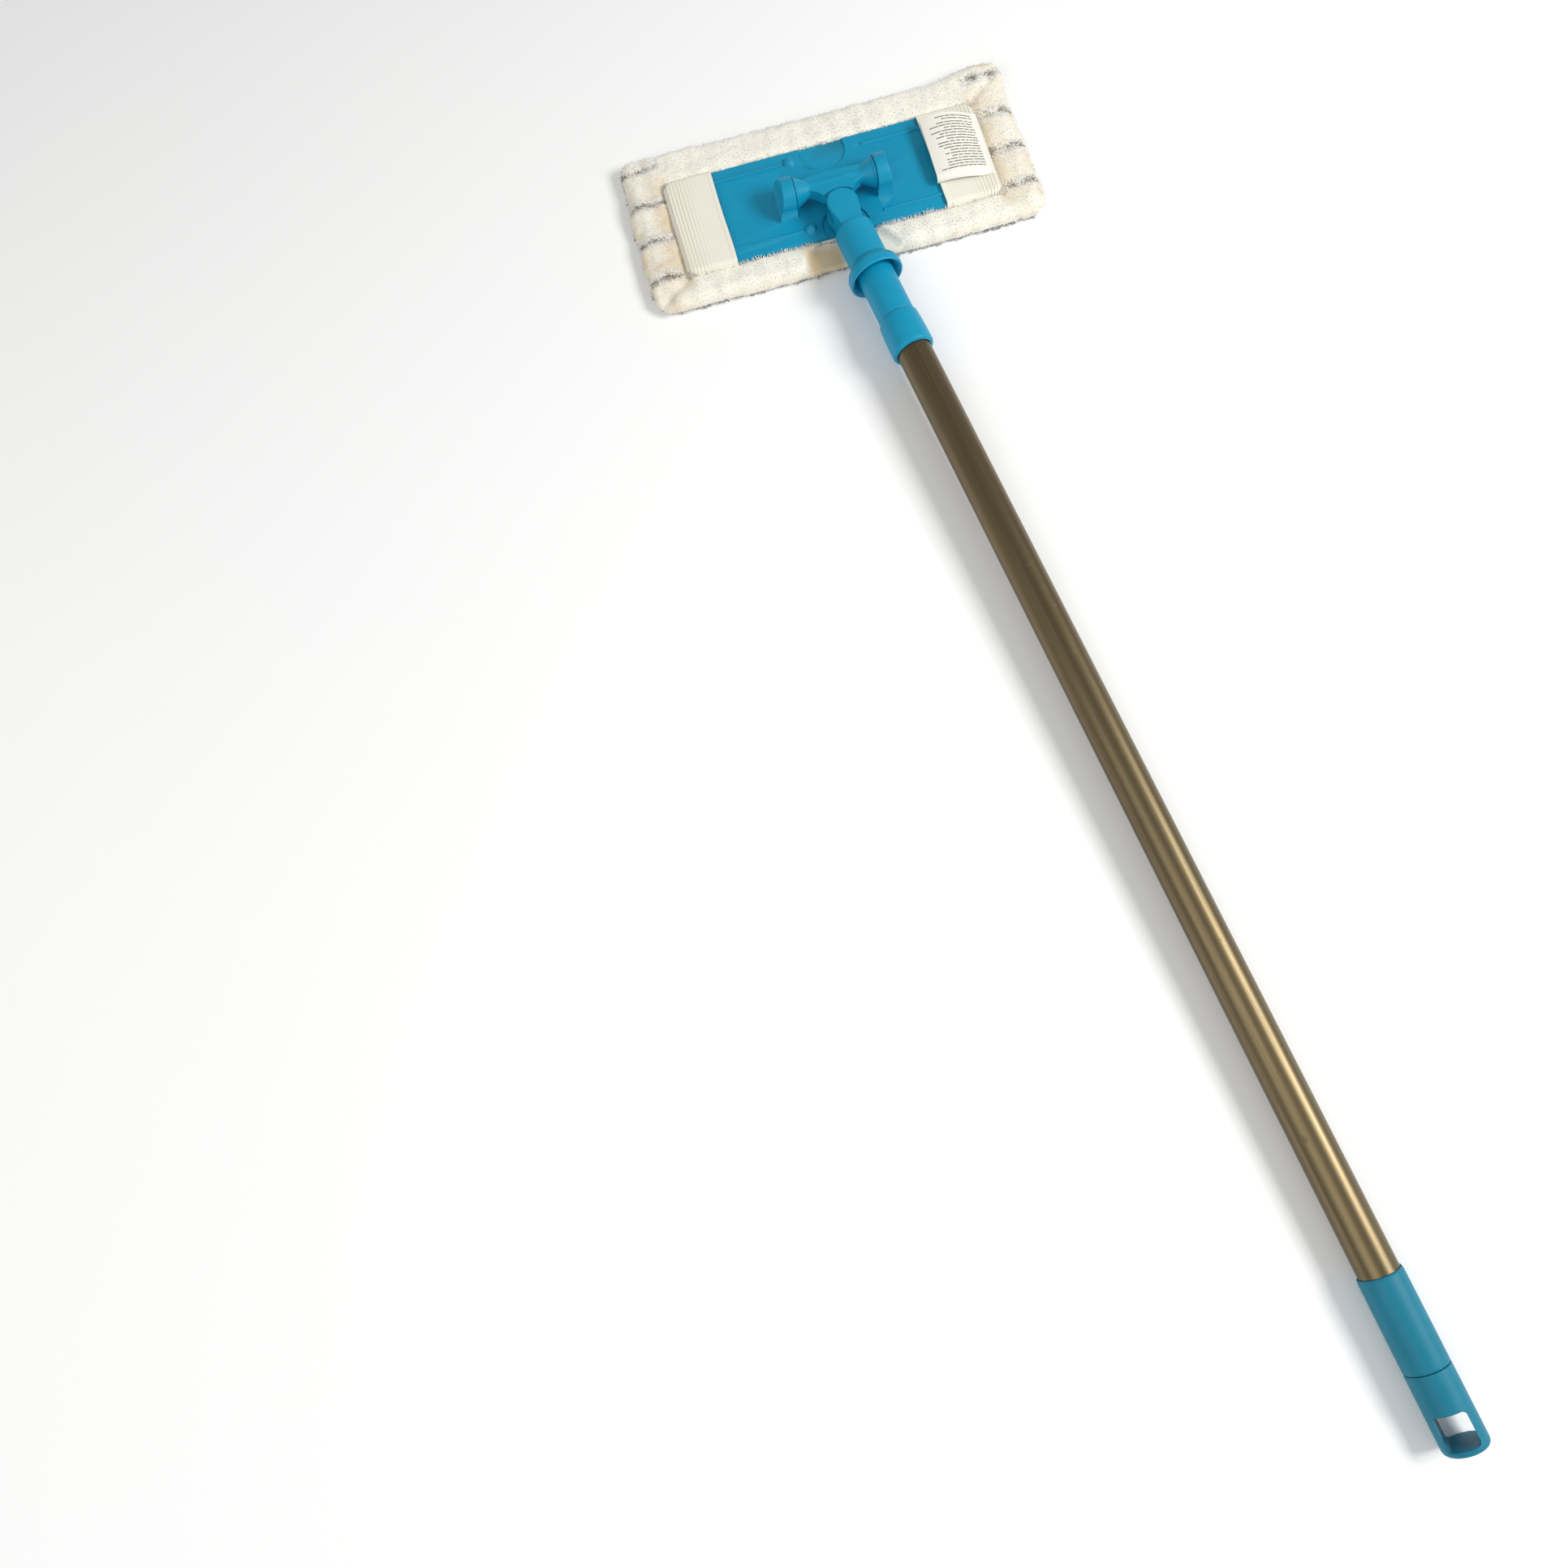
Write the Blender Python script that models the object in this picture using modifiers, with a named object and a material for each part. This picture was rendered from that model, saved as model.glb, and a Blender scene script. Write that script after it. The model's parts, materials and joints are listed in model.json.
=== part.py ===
"""Flat mop with a telescopic handle.

Frame: the origin is the centre of the pad's wiping face, +X runs along the pad, the handle
lies towards -Y, and +Z is up.  The mop lies on the floor with its pad flat and its handle
collapsed.  Lengths are in metres.
"""
import math

import bmesh
import bpy
from mathutils import Matrix, Vector

# ---------------------------------------------------------------- driving dimensions
GAP = 0.0003                     # clearance between touching pieces
WELD = 0.0001                    # merge distance, below every real feature

# pad
PAD_LENGTH = 0.307
PAD_WIDTH = 0.143
PAD_CORNER = 0.016
PILE_DEPTH = 0.0055              # wiping face, from the floor up
LINING_DEPTH = 0.0012
BACKING_DEPTH = 0.0009
HEM_TOP = 0.0094                 # top of the folded plush border, where the socket rests over it
HEM_ROUNDING = 0.0015
HEM_INSET = 0.001                # the border is this much smaller than the wiping face, over both sides
FACE_ROUNDING = 0.0018
WINDOW_MARGIN = 0.0032           # past the plate's ends, for the pockets' turned-down cloth
WINDOW_CORNER = 0.004

# base plate
PLATE_HALF_LENGTH = 0.118
PLATE_HALF_WIDTH = 0.041
PLATE_Y = -0.0045                # the plate's long middle line, off the pad's
PLATE_CORNER = 0.006
PLATE_TOP = 0.013
PLATE_SKIN = 0.0024
PLATE_RIM = 0.0024
PLATE_EDGE = 0.0008              # its rounded edges
PLATE_RIB = 0.0018               # ribs between the cored-out cells underneath
CORE_CELLS = (6, 2)
RIDGE_OFFSET = 0.031             # ridge lines either side of the plate's middle
RIDGE_WIDTH = 0.0022
RIDGE_HEIGHT = 0.0011
RIDGE_ENDS = (-0.030, 0.032)     # where the ridges stop, left and right of the yoke
RIDGE_MARGIN = 0.003             # and how far short of the plate's ends
BOSS_X = -0.0245
BOSS_RADIUS = 0.005
DISH_CENTRE = (0.002, 0.035)
DISH_RADIUS = 0.018
DISH_DEPTH = 0.0013

# pockets and label
POCKET_OPENING = (-0.084, 0.078)
POCKET_CLOTH = 0.0009
LABEL_X = (0.0765, 0.1185)
LABEL_Y = (-0.029, 0.024)
LABEL_CLOTH = 0.0005

# ears and yoke
PIVOT_Y = -0.0108
PIVOT_HEIGHT = 0.0248
EAR_INNER = 0.031
EAR_BASE = 0.014                 # thickness at the plate
EAR_CREST = 0.009                # thickness at the top
EAR_RADIUS = 0.0125
TRUNNION_RADIUS = 0.0048
TRUNNION_LENGTH = 0.006
DISC_RADIUS = 0.0114
DISC_RIM = 0.0012
BEAM_RADIUS = 0.0056
WEB_FAR = 0.0076                 # straight far edge of the yoke's web, from the pitch axis
WEB_HALF = 0.005                 # half the thickness of the yoke's web
RECESS_RADIUS = 0.0158           # round recess in the web, from the swivel axis
RECESS_DEPTH = 0.0026

# fork and socket; stations are measured along the handle from the swivel axis
SWIVEL_OFFSET = 0.024            # pitch axis to swivel axis
WEB_SHOULDER = 0.0215            # the web's straight sides, either side of the middle
GUSSET_CENTRE = (0.0245, -0.0195)
GUSSET_RADIUS = 0.0153           # the hollow from each shoulder down to the stub
CHEEK_RADIUS = 0.0115
CHEEK_HALF = 0.0093              # half the thickness over both cheeks
CHEEK_TAPER = math.radians(11)
STUB_RADIUS = 0.0095
PIN_RADIUS = 0.0038
PIN_HEAD_RADIUS = 0.0056
SOCKET_START = 0.0195
SOCKET_RADIUS = 0.0145
MOUTH_START = 0.051
MOUTH_END = 0.0645
MOUTH_RADIUS = 0.0202
SOCKET_BORE = 0.0118
SLEEVE_RADIUS = 0.0134
SLEEVE_END = 0.101

# telescopic handle
INNER_RADIUS = 0.011
OUTER_RADIUS = 0.0125
TUBE_WALL = 0.0005
COLLAR_RADIUS = 0.0155
COLLAR_END = 0.130
INNER_TUBE_START = 0.064
INNER_TUBE_END = 0.760
OUTER_TUBE_START = 0.108
OUTER_TUBE_END = 0.863
GRIP_RADIUS = 0.0138
GRIP_START = 0.7925
CAP_START = 0.847
CAP_END = 0.893
LOCK_RING = (0.0033, 0.0253)     # the expander ring's ends, past the inner tube's end
LOCK_CONE = (0.0062, 0.0074)     # radii of the cone under it
LOCK_SCREW_HOLE = 0.0019
HOLE_START = 0.8700
HOLE_LENGTH = 0.0190
HOLE_WIDTH = 0.0190
HOLE_CORNER = 0.0025
HOLE_ROLL = math.radians(-26)    # the cap is screwed home with its hole turned this far from upright

# attitude at rest: the far end of the grip touches the floor
HANDLE_YAW = math.radians(7.0)
HANDLE_REACH = SWIVEL_OFFSET + (CAP_END - 0.003) * math.cos(HANDLE_YAW)
HANDLE_DROP = math.asin((PIVOT_HEIGHT - GRIP_RADIUS) / HANDLE_REACH)

LARGE_STEPS = 40
SMALL_STEPS = 24


# ---------------------------------------------------------------- scene and materials
for old in list(bpy.data.objects):
    bpy.data.objects.remove(old, do_unlink=True)

parts = bpy.data.collections.new("flat_mop")
cutters = bpy.data.collections.new("cutters")
for collection in (parts, cutters):
    bpy.context.scene.collection.children.link(collection)


def material(name, colour, roughness, metallic=0.0):
    made = bpy.data.materials.new(name)
    made.use_nodes = True
    shader = made.node_tree.nodes["Principled BSDF"]
    shader.inputs["Base Color"].default_value = (*colour, 1.0)
    shader.inputs["Roughness"].default_value = roughness
    shader.inputs["Metallic"].default_value = metallic
    made.diffuse_color = (*colour, 1.0)
    return made


PLUSH = material("plush", (0.86, 0.83, 0.74), 0.95)
CLOTH = material("cloth", (0.82, 0.79, 0.70), 0.9)
LABEL = material("label", (0.85, 0.84, 0.80), 0.7)
BLUE = material("blue_plastic", (0.011, 0.296, 0.552), 0.45)
STEEL = material("steel", (0.33, 0.31, 0.27), 0.3, 1.0)
LOCK = material("lock_plastic", (0.75, 0.75, 0.72), 0.5)
ZINC = material("zinc", (0.6, 0.6, 0.6), 0.35, 1.0)


# ---------------------------------------------------------------- helpers
def frame(name, parent, location=(0, 0, 0), rotation=(0, 0, 0)):
    """An empty that carries a moving group's axis."""
    empty = bpy.data.objects.new(name, None)
    empty.empty_display_size = 0.02
    parts.objects.link(empty)
    empty.parent = parent
    empty.location = location
    empty.rotation_euler = rotation
    return empty


def place(name, mesh, parent, look, collection=None, smooth=True):
    made = bpy.data.objects.new(name, mesh)
    (collection or parts).objects.link(made)
    made.parent = parent
    if look:
        mesh.materials.append(look)
    if smooth:
        mesh.shade_smooth()
        mesh.set_sharp_from_angle(angle=math.radians(35))
    if collection is cutters:
        made.hide_render = True
        made.display_type = "WIRE"
    return made


def baked(made):
    """Turns an object's modifiers into its mesh."""
    bpy.context.view_layer.update()
    evaluated = made.evaluated_get(bpy.context.evaluated_depsgraph_get())
    mesh = bpy.data.meshes.new_from_object(evaluated)
    made.modifiers.clear()
    made.data = mesh
    return made


def bevelled(made, width, segments=2, angle=40):
    edge = made.modifiers.new("edge", "BEVEL")
    edge.width = width
    edge.segments = segments
    edge.limit_method = "ANGLE"
    edge.angle_limit = math.radians(angle)
    return made


def slab(name, outline, low, high, parent, look, collection=None, rotation=(0, 0, 0), holes=()):
    """A flat outline with a thickness, from low to high along its own Z."""
    curve = bpy.data.curves.new(name, "CURVE")
    curve.dimensions = "2D"
    curve.fill_mode = "BOTH"
    curve.extrude = (high - low) / 2
    for loop in (outline, *holes):
        spline = curve.splines.new("POLY")
        spline.points.add(len(loop) - 1)
        for point, (x, y) in zip(spline.points, loop):
            point.co = (x, y, 0, 1)
        spline.use_cyclic_u = True
    drawn = bpy.data.objects.new(name + "_outline", curve)
    cutters.objects.link(drawn)
    bpy.context.view_layer.update()
    evaluated = drawn.evaluated_get(bpy.context.evaluated_depsgraph_get())
    mesh = bpy.data.meshes.new_from_object(evaluated)
    mesh.materials.clear()
    bpy.data.objects.remove(drawn, do_unlink=True)
    work = bmesh.new()
    work.from_mesh(mesh)
    bmesh.ops.remove_doubles(work, verts=work.verts, dist=WELD / 10)
    bmesh.ops.dissolve_limit(work, angle_limit=math.radians(0.5), verts=work.verts, edges=work.edges)
    bmesh.ops.translate(work, verts=work.verts, vec=(0, 0, (low + high) / 2))
    work.to_mesh(mesh)
    work.free()
    made = place(name, mesh, parent, look, collection, smooth=False)
    made.rotation_euler = rotation
    return made


def turned(name, profile, parent, look, steps=LARGE_STEPS, closed=False, collection=None,
           rotation=(0, 0, 0)):
    """A solid of revolution about its own Z: (radius, height) pairs, outer side from the top down.

    An open profile starts and ends on the axis; a closed one is a ring.
    """
    work = bmesh.new()
    points = [work.verts.new((radius, 0, height)) for radius, height in profile]
    count = len(points)
    for index in range(count if closed else count - 1):
        work.edges.new((points[index], points[(index + 1) % count]))
    mesh = bpy.data.meshes.new(name)
    work.to_mesh(mesh)
    work.free()
    made = place(name, mesh, parent, None, collection, smooth=False)
    lathe = made.modifiers.new("lathe", "SCREW")
    lathe.angle = math.tau
    lathe.steps = steps
    lathe.render_steps = steps
    lathe.use_merge_vertices = not closed
    lathe.merge_threshold = WELD
    baked(made)
    made.rotation_euler = rotation
    if look:
        made.data.materials.append(look)
    made.data.shade_smooth()
    made.data.set_sharp_from_angle(angle=math.radians(35))
    return made


def block(name, low, high, parent, look=None, collection=None, rotation=(0, 0, 0), location=(0, 0, 0)):
    work = bmesh.new()
    bmesh.ops.create_cube(work, size=1)
    low, high = Vector(low), Vector(high)
    bmesh.ops.scale(work, verts=work.verts, vec=high - low)
    bmesh.ops.translate(work, verts=work.verts, vec=(low + high) / 2)
    mesh = bpy.data.meshes.new(name)
    work.to_mesh(mesh)
    work.free()
    made = place(name, mesh, parent, look, collection, smooth=False)
    made.location = location
    made.rotation_euler = rotation
    return made


def combine(made, others, operation):
    """Joins others to made, or cuts them out of it, and removes them."""
    for other in others:
        step = made.modifiers.new(operation.lower(), "BOOLEAN")
        step.operation = operation
        step.solver = "EXACT"
        step.object = other
        baked(made)
        bpy.data.objects.remove(other, do_unlink=True)
    return made


def tidied(made, angle=35):
    """Welds the slivers that a cut leaves, and shades the piece."""
    work = bmesh.new()
    work.from_mesh(made.data)
    bmesh.ops.remove_doubles(work, verts=work.verts, dist=WELD / 5)
    bmesh.ops.dissolve_degenerate(work, edges=work.edges, dist=WELD / 5)
    bmesh.ops.dissolve_limit(work, angle_limit=math.radians(0.5), verts=work.verts, edges=work.edges)
    work.to_mesh(made.data)
    work.free()
    made.data.shade_smooth()
    made.data.set_sharp_from_angle(angle=math.radians(angle))
    return made


def arc(centre, radius, start, end, steps):
    """Points on a circle, angles in degrees from +X, both ends included."""
    sweep = [math.radians(start + (end - start) * k / steps) for k in range(steps + 1)]
    return [(centre[0] + radius * math.cos(a), centre[1] + radius * math.sin(a)) for a in sweep]


def rounded_box(x_low, x_high, y_low, y_high, radius, steps=6):
    """A rectangle with round corners, anticlockwise."""
    corners = ((x_high, y_high, 0), (x_low, y_high, 90), (x_low, y_low, 180), (x_high, y_low, 270))
    outline = []
    for x, y, start in corners:
        centre = (x - math.copysign(radius, x - (x_low + x_high) / 2),
                  y - math.copysign(radius, y - (y_low + y_high) / 2))
        outline += arc(centre, radius, start, start + 90, steps)
    return outline


def rounded_rectangle(length, width, radius, middle_y=0.0, steps=6):
    return rounded_box(-length / 2, length / 2, middle_y - width / 2, middle_y + width / 2, radius, steps)


# ---------------------------------------------------------------- frames
pitch_frame = frame("pitch_frame", None, (0, PIVOT_Y, PIVOT_HEIGHT), (HANDLE_DROP, 0, 0))
swivel_frame = frame("swivel_frame", pitch_frame, (0, -SWIVEL_OFFSET, 0), (0, 0, HANDLE_YAW))
# along the handle is +Z in this one, and +Y is up
handle_frame = frame("handle_frame", swivel_frame, (0, 0, 0), (math.pi / 2, 0, 0))

LINING_LOW = PILE_DEPTH + GAP
BACKING_LOW = LINING_LOW + LINING_DEPTH + GAP
PLATE_LOW = BACKING_LOW + BACKING_DEPTH + GAP


# ---------------------------------------------------------------- the pad
def pad():
    face = slab("pad_face", rounded_rectangle(PAD_LENGTH, PAD_WIDTH, PAD_CORNER), 0, PILE_DEPTH,
                None, PLUSH)
    # the pile is rounded where it turns up into the border, and flat where it rests
    bevelled(face, FACE_ROUNDING, segments=2)
    inner_length = 2 * (PLATE_HALF_LENGTH + WINDOW_MARGIN)
    inner_width = 2 * (PLATE_HALF_WIDTH + GAP)
    sheet = rounded_rectangle(inner_length - 2 * GAP, inner_width - 2 * GAP, WINDOW_CORNER, PLATE_Y)
    slab("pad_lining", sheet, LINING_LOW, LINING_LOW + LINING_DEPTH, None, CLOTH)
    slab("pad_backing", sheet, BACKING_LOW, BACKING_LOW + BACKING_DEPTH, None, CLOTH)
    hem = slab("pad_hem", rounded_rectangle(PAD_LENGTH - HEM_INSET, PAD_WIDTH - HEM_INSET, PAD_CORNER),
               PILE_DEPTH + GAP, HEM_TOP, None, PLUSH,
               holes=[rounded_rectangle(inner_length, inner_width, WINDOW_CORNER, PLATE_Y)])
    bevelled(hem, HEM_ROUNDING, segments=3)


def pockets():
    """Elastic cloth over each end of the plate, turned down behind it."""
    top = PLATE_TOP + GAP + RIDGE_HEIGHT
    end = PLATE_HALF_LENGTH + GAP
    for name, opening, side in (("pocket_left", POCKET_OPENING[0], -1),
                                ("pocket_right", POCKET_OPENING[1], 1)):
        outer = side * (end + POCKET_CLOTH)
        section = [(opening, top), (side * end, top), (side * end, PLATE_LOW), (outer, PLATE_LOW),
                   (outer, top + POCKET_CLOTH), (opening, top + POCKET_CLOTH)]
        half = PLATE_HALF_WIDTH - 0.0008
        slab(name, section, -half - PLATE_Y, half - PLATE_Y, None, CLOTH, rotation=(math.pi / 2, 0, 0))


def label():
    low = PLATE_TOP + RIDGE_HEIGHT + POCKET_CLOTH + 2 * GAP
    slab("care_label", rounded_box(*LABEL_X, *LABEL_Y, 0.001, steps=2), low, low + LABEL_CLOTH,
         None, LABEL)


# ---------------------------------------------------------------- the base plate
def ear(side):
    """An arched ear: a round crest about the pitch axis, on straight legs, with a drafted outer side."""
    foot = PLATE_TOP - 0.001 - PIVOT_HEIGHT
    outline = [(EAR_RADIUS, foot)] + arc((0, 0), EAR_RADIUS, 0, 180, 20) + [(-EAR_RADIUS, foot)]
    # drawn in the plane across the pitch axis: local X is +Y, local Y is +Z, local Z is +X
    low, high = (EAR_INNER, EAR_INNER + EAR_BASE) if side > 0 else (-EAR_INNER - EAR_BASE, -EAR_INNER)
    made = slab("ear", outline, low, high, None, None)
    made.data.transform(Matrix(((0, 0, 1, 0), (1, 0, 0, PIVOT_Y), (0, 1, 0, PIVOT_HEIGHT), (0, 0, 0, 1))))
    height = PIVOT_HEIGHT + EAR_RADIUS - PLATE_TOP
    draft = math.atan2(EAR_BASE - EAR_CREST, height)
    reach = 0.02 * side
    wedge = block("draft", (min(0, reach), -0.05, 0), (max(0, reach), 0.05, 0.06), None,
                  location=(side * (EAR_INNER + EAR_BASE), 0, PLATE_TOP), rotation=(0, -side * draft, 0),
                  collection=cutters)
    combine(made, [wedge], "DIFFERENCE")
    made.data.materials.clear()
    bevelled(made, 0.0009, segments=2, angle=50)
    return baked(made)


def base_plate():
    outline = rounded_rectangle(2 * PLATE_HALF_LENGTH, 2 * PLATE_HALF_WIDTH, PLATE_CORNER, PLATE_Y)
    plate = slab("base_plate", outline, PLATE_LOW, PLATE_TOP, None, BLUE)
    baked(bevelled(plate, PLATE_EDGE, segments=2))
    added = [ear(-1), ear(1)]
    for across in (-1, 1):
        y = PLATE_Y + across * RIDGE_OFFSET
        reach = PLATE_HALF_LENGTH - RIDGE_MARGIN
        for start, end in ((-reach, RIDGE_ENDS[0]), (RIDGE_ENDS[1], reach)):
            added.append(block("ridge", (start, y - RIDGE_WIDTH / 2, PLATE_TOP - 0.001),
                               (end, y + RIDGE_WIDTH / 2, PLATE_TOP + RIDGE_HEIGHT), None,
                               collection=cutters))
        top = [(0, 0.0036), (0.0017, 0.0033), (0.0032, 0.0024), (0.0043, 0.0011), (BOSS_RADIUS, 0),
               (BOSS_RADIUS, -0.001), (0, -0.001)]
        boss = turned("boss", top, None, None, steps=SMALL_STEPS, collection=cutters)
        boss.location = (BOSS_X, y, PLATE_TOP)
        added.append(boss)
    combine(plate, added, "UNION")
    removed = []
    for across in (-1, 1):
        hollow = [(0, 0.01), (DISH_RADIUS, 0.01), (DISH_RADIUS, -DISH_DEPTH), (0, -DISH_DEPTH)]
        dish = turned("dish", hollow, None, None, collection=cutters)
        dish.location = (DISH_CENTRE[0], PLATE_Y + across * DISH_CENTRE[1], PLATE_TOP)
        removed.append(dish)
        bore = turned("bore", [(0, 0.0), (TRUNNION_RADIUS + GAP, 0.0),
                               (TRUNNION_RADIUS + GAP, -TRUNNION_LENGTH - 0.002),
                               (0, -TRUNNION_LENGTH - 0.002)],
                      None, None, steps=SMALL_STEPS, collection=cutters,
                      rotation=(0, -across * math.pi / 2, 0))
        bore.location = (across * (EAR_INNER - 0.001), PIVOT_Y, PIVOT_HEIGHT)
        removed.append(bore)
    # the underside is cored out between its ribs
    columns, rows = CORE_CELLS
    pitch_x = 2 * (PLATE_HALF_LENGTH - PLATE_RIM) / columns
    pitch_y = 2 * (PLATE_HALF_WIDTH - PLATE_RIM) / rows
    for column in range(columns):
        for row in range(rows):
            x = -PLATE_HALF_LENGTH + PLATE_RIM + column * pitch_x
            y = PLATE_Y - PLATE_HALF_WIDTH + PLATE_RIM + row * pitch_y
            removed.append(block("core", (x + PLATE_RIB / 2, y + PLATE_RIB / 2, PLATE_LOW - 0.001),
                                 (x + pitch_x - PLATE_RIB / 2, y + pitch_y - PLATE_RIB / 2,
                                  PLATE_TOP - PLATE_SKIN), None, collection=cutters))
    combine(plate, removed, "DIFFERENCE")
    tidied(plate)


# ---------------------------------------------------------------- the yoke
def yoke():
    """Cross beam with end discs and trunnions, and a web that carries the swivel pin."""
    half = [(0, EAR_INNER + TRUNNION_LENGTH), (TRUNNION_RADIUS - 0.0006, EAR_INNER + TRUNNION_LENGTH),
            (TRUNNION_RADIUS, EAR_INNER + TRUNNION_LENGTH - 0.0006), (TRUNNION_RADIUS, EAR_INNER - GAP),
            (DISC_RADIUS, EAR_INNER - GAP), (DISC_RADIUS, EAR_INNER - GAP - DISC_RIM),
            (DISC_RADIUS - 0.0009, EAR_INNER - GAP - DISC_RIM - 0.0006), (BEAM_RADIUS + 0.0012, 0.0218),
            (BEAM_RADIUS, 0.0190)]
    profile = half + [(radius, -height) for radius, height in reversed(half)]
    beam = turned("yoke", profile, pitch_frame, BLUE, rotation=(0, math.pi / 2, 0))
    # web: straight far edge, hollow gussets down to the round stub
    right = arc(GUSSET_CENTRE, GUSSET_RADIUS, 101, 184, 10)
    stub = arc((0, -SWIVEL_OFFSET), STUB_RADIUS, 12, -192, 18)
    left = [(-x, y) for x, y in reversed(right)]
    shoulder = right[0][1]
    outline = [(WEB_SHOULDER, WEB_FAR - 0.0012), (WEB_SHOULDER, shoulder)] + right + stub + left \
        + [(-WEB_SHOULDER, shoulder), (-WEB_SHOULDER, WEB_FAR - 0.0012), (-0.0080, WEB_FAR), (0.0080, WEB_FAR)]
    web = slab("web", outline, -WEB_HALF, WEB_HALF, pitch_frame, None, collection=cutters)
    baked(bevelled(web, 0.0006, segments=1, angle=50))
    combine(beam, [web], "UNION")
    bore = turned("pin_bore", [(0, 0.02), (PIN_RADIUS + GAP, 0.02), (PIN_RADIUS + GAP, -0.02), (0, -0.02)],
                  pitch_frame, None, steps=SMALL_STEPS, collection=cutters)
    bore.location = (0, -SWIVEL_OFFSET, 0)
    # a round recess in each side of the web, around the cheeks' ends
    recesses = []
    for side in (-1, 1):
        low, high = sorted((side * (WEB_HALF - RECESS_DEPTH), side * 0.02))
        inner = STUB_RADIUS - 0.0006
        ring = [(RECESS_RADIUS, high), (RECESS_RADIUS, low), (inner, low), (inner, high)]
        cut = turned("recess", ring, pitch_frame, None, closed=True, collection=cutters)
        cut.location = (0, -SWIVEL_OFFSET, 0)
        recesses.append(cut)
    combine(beam, [bore] + recesses, "DIFFERENCE")
    tidied(beam)


def swivel_pin():
    """Pressed up from below into the blind upper cheek; its head sits in the lower one."""
    head = PIN_HEAD_RADIUS
    profile = [(0, CHEEK_HALF - 0.0024), (PIN_RADIUS - 0.0005, CHEEK_HALF - 0.0024),
               (PIN_RADIUS, CHEEK_HALF - 0.0029), (PIN_RADIUS, -CHEEK_HALF + 0.0014),
               (head, -CHEEK_HALF + 0.0014), (head, -CHEEK_HALF + 0.0002),
               (head - 0.0008, -CHEEK_HALF - 0.0004), (0, -CHEEK_HALF - 0.0004)]
    turned("swivel_pin", profile, swivel_frame, BLUE, steps=SMALL_STEPS)


def fork_socket():
    """Two cheeks around the yoke's stub, and the flared socket that the handle screws into."""
    lip = 0.0012
    profile = [(SOCKET_BORE, MOUTH_START + 0.0030), (0.0140, MOUTH_START + 0.0052),
               (0.0172, MOUTH_END - 0.0022), (MOUTH_RADIUS - 0.0012, MOUTH_END),
               (MOUTH_RADIUS - 0.0002, MOUTH_END - 0.0005),
               (MOUTH_RADIUS, MOUTH_END - lip), (MOUTH_RADIUS, MOUTH_START + 0.0075),
               (MOUTH_RADIUS - 0.0012, MOUTH_START + 0.0048),
               (SOCKET_RADIUS + 0.0014, MOUTH_START + 0.0012),
               (SOCKET_RADIUS, MOUTH_START - 0.0010), (SOCKET_RADIUS, SOCKET_START + 0.0012),
               (SOCKET_RADIUS - 0.0012, SOCKET_START), (0, SOCKET_START), (0, SOCKET_START + 0.0034),
               (SOCKET_BORE, SOCKET_START + 0.0034)]
    # the ring is closed through the axis, so it is turned as an open profile from the axis
    floor = profile.index((0, SOCKET_START + 0.0034))
    ring = profile[floor:] + profile[:floor]
    socket = turned("fork_socket", ring, handle_frame, BLUE)
    # each cheek is a disc whose sides run straight in to the neck, tangent to the disc
    neck = SOCKET_START + 0.002
    neck_half = (CHEEK_RADIUS - neck * math.sin(CHEEK_TAPER)) / math.cos(CHEEK_TAPER)
    taper = math.degrees(CHEEK_TAPER)
    cheeks = slab("cheeks", [(-neck_half, -neck)] + arc((0, 0), CHEEK_RADIUS, 180 + taper, -taper, 26)
                  + [(neck_half, -neck)],
                  -CHEEK_HALF, CHEEK_HALF, swivel_frame, None, collection=cutters)
    baked(bevelled(cheeks, 0.0007, segments=2, angle=50))
    slot_half = WEB_HALF + GAP
    slot = turned("slot", [(0, slot_half), (CHEEK_RADIUS + 0.0007, slot_half),
                           (CHEEK_RADIUS + 0.0007, -slot_half), (0, -slot_half)],
                  swivel_frame, None, steps=LARGE_STEPS, collection=cutters)
    pin_hole = turned("pin_hole", [(0, CHEEK_HALF - 0.0021), (PIN_RADIUS + GAP, CHEEK_HALF - 0.0021),
                                   (PIN_RADIUS + GAP, -0.02), (0, -0.02)],
                      swivel_frame, None, steps=SMALL_STEPS, collection=cutters)
    seat = PIN_HEAD_RADIUS + GAP
    head_seat = turned("head_seat", [(0, -CHEEK_HALF + 0.0017), (seat, -CHEEK_HALF + 0.0017),
                                     (seat, -0.02), (0, -0.02)],
                       swivel_frame, None, steps=SMALL_STEPS, collection=cutters)
    combine(socket, [cheeks], "UNION")
    combine(socket, [slot, pin_hole, head_seat], "DIFFERENCE")
    tidied(socket)


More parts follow.
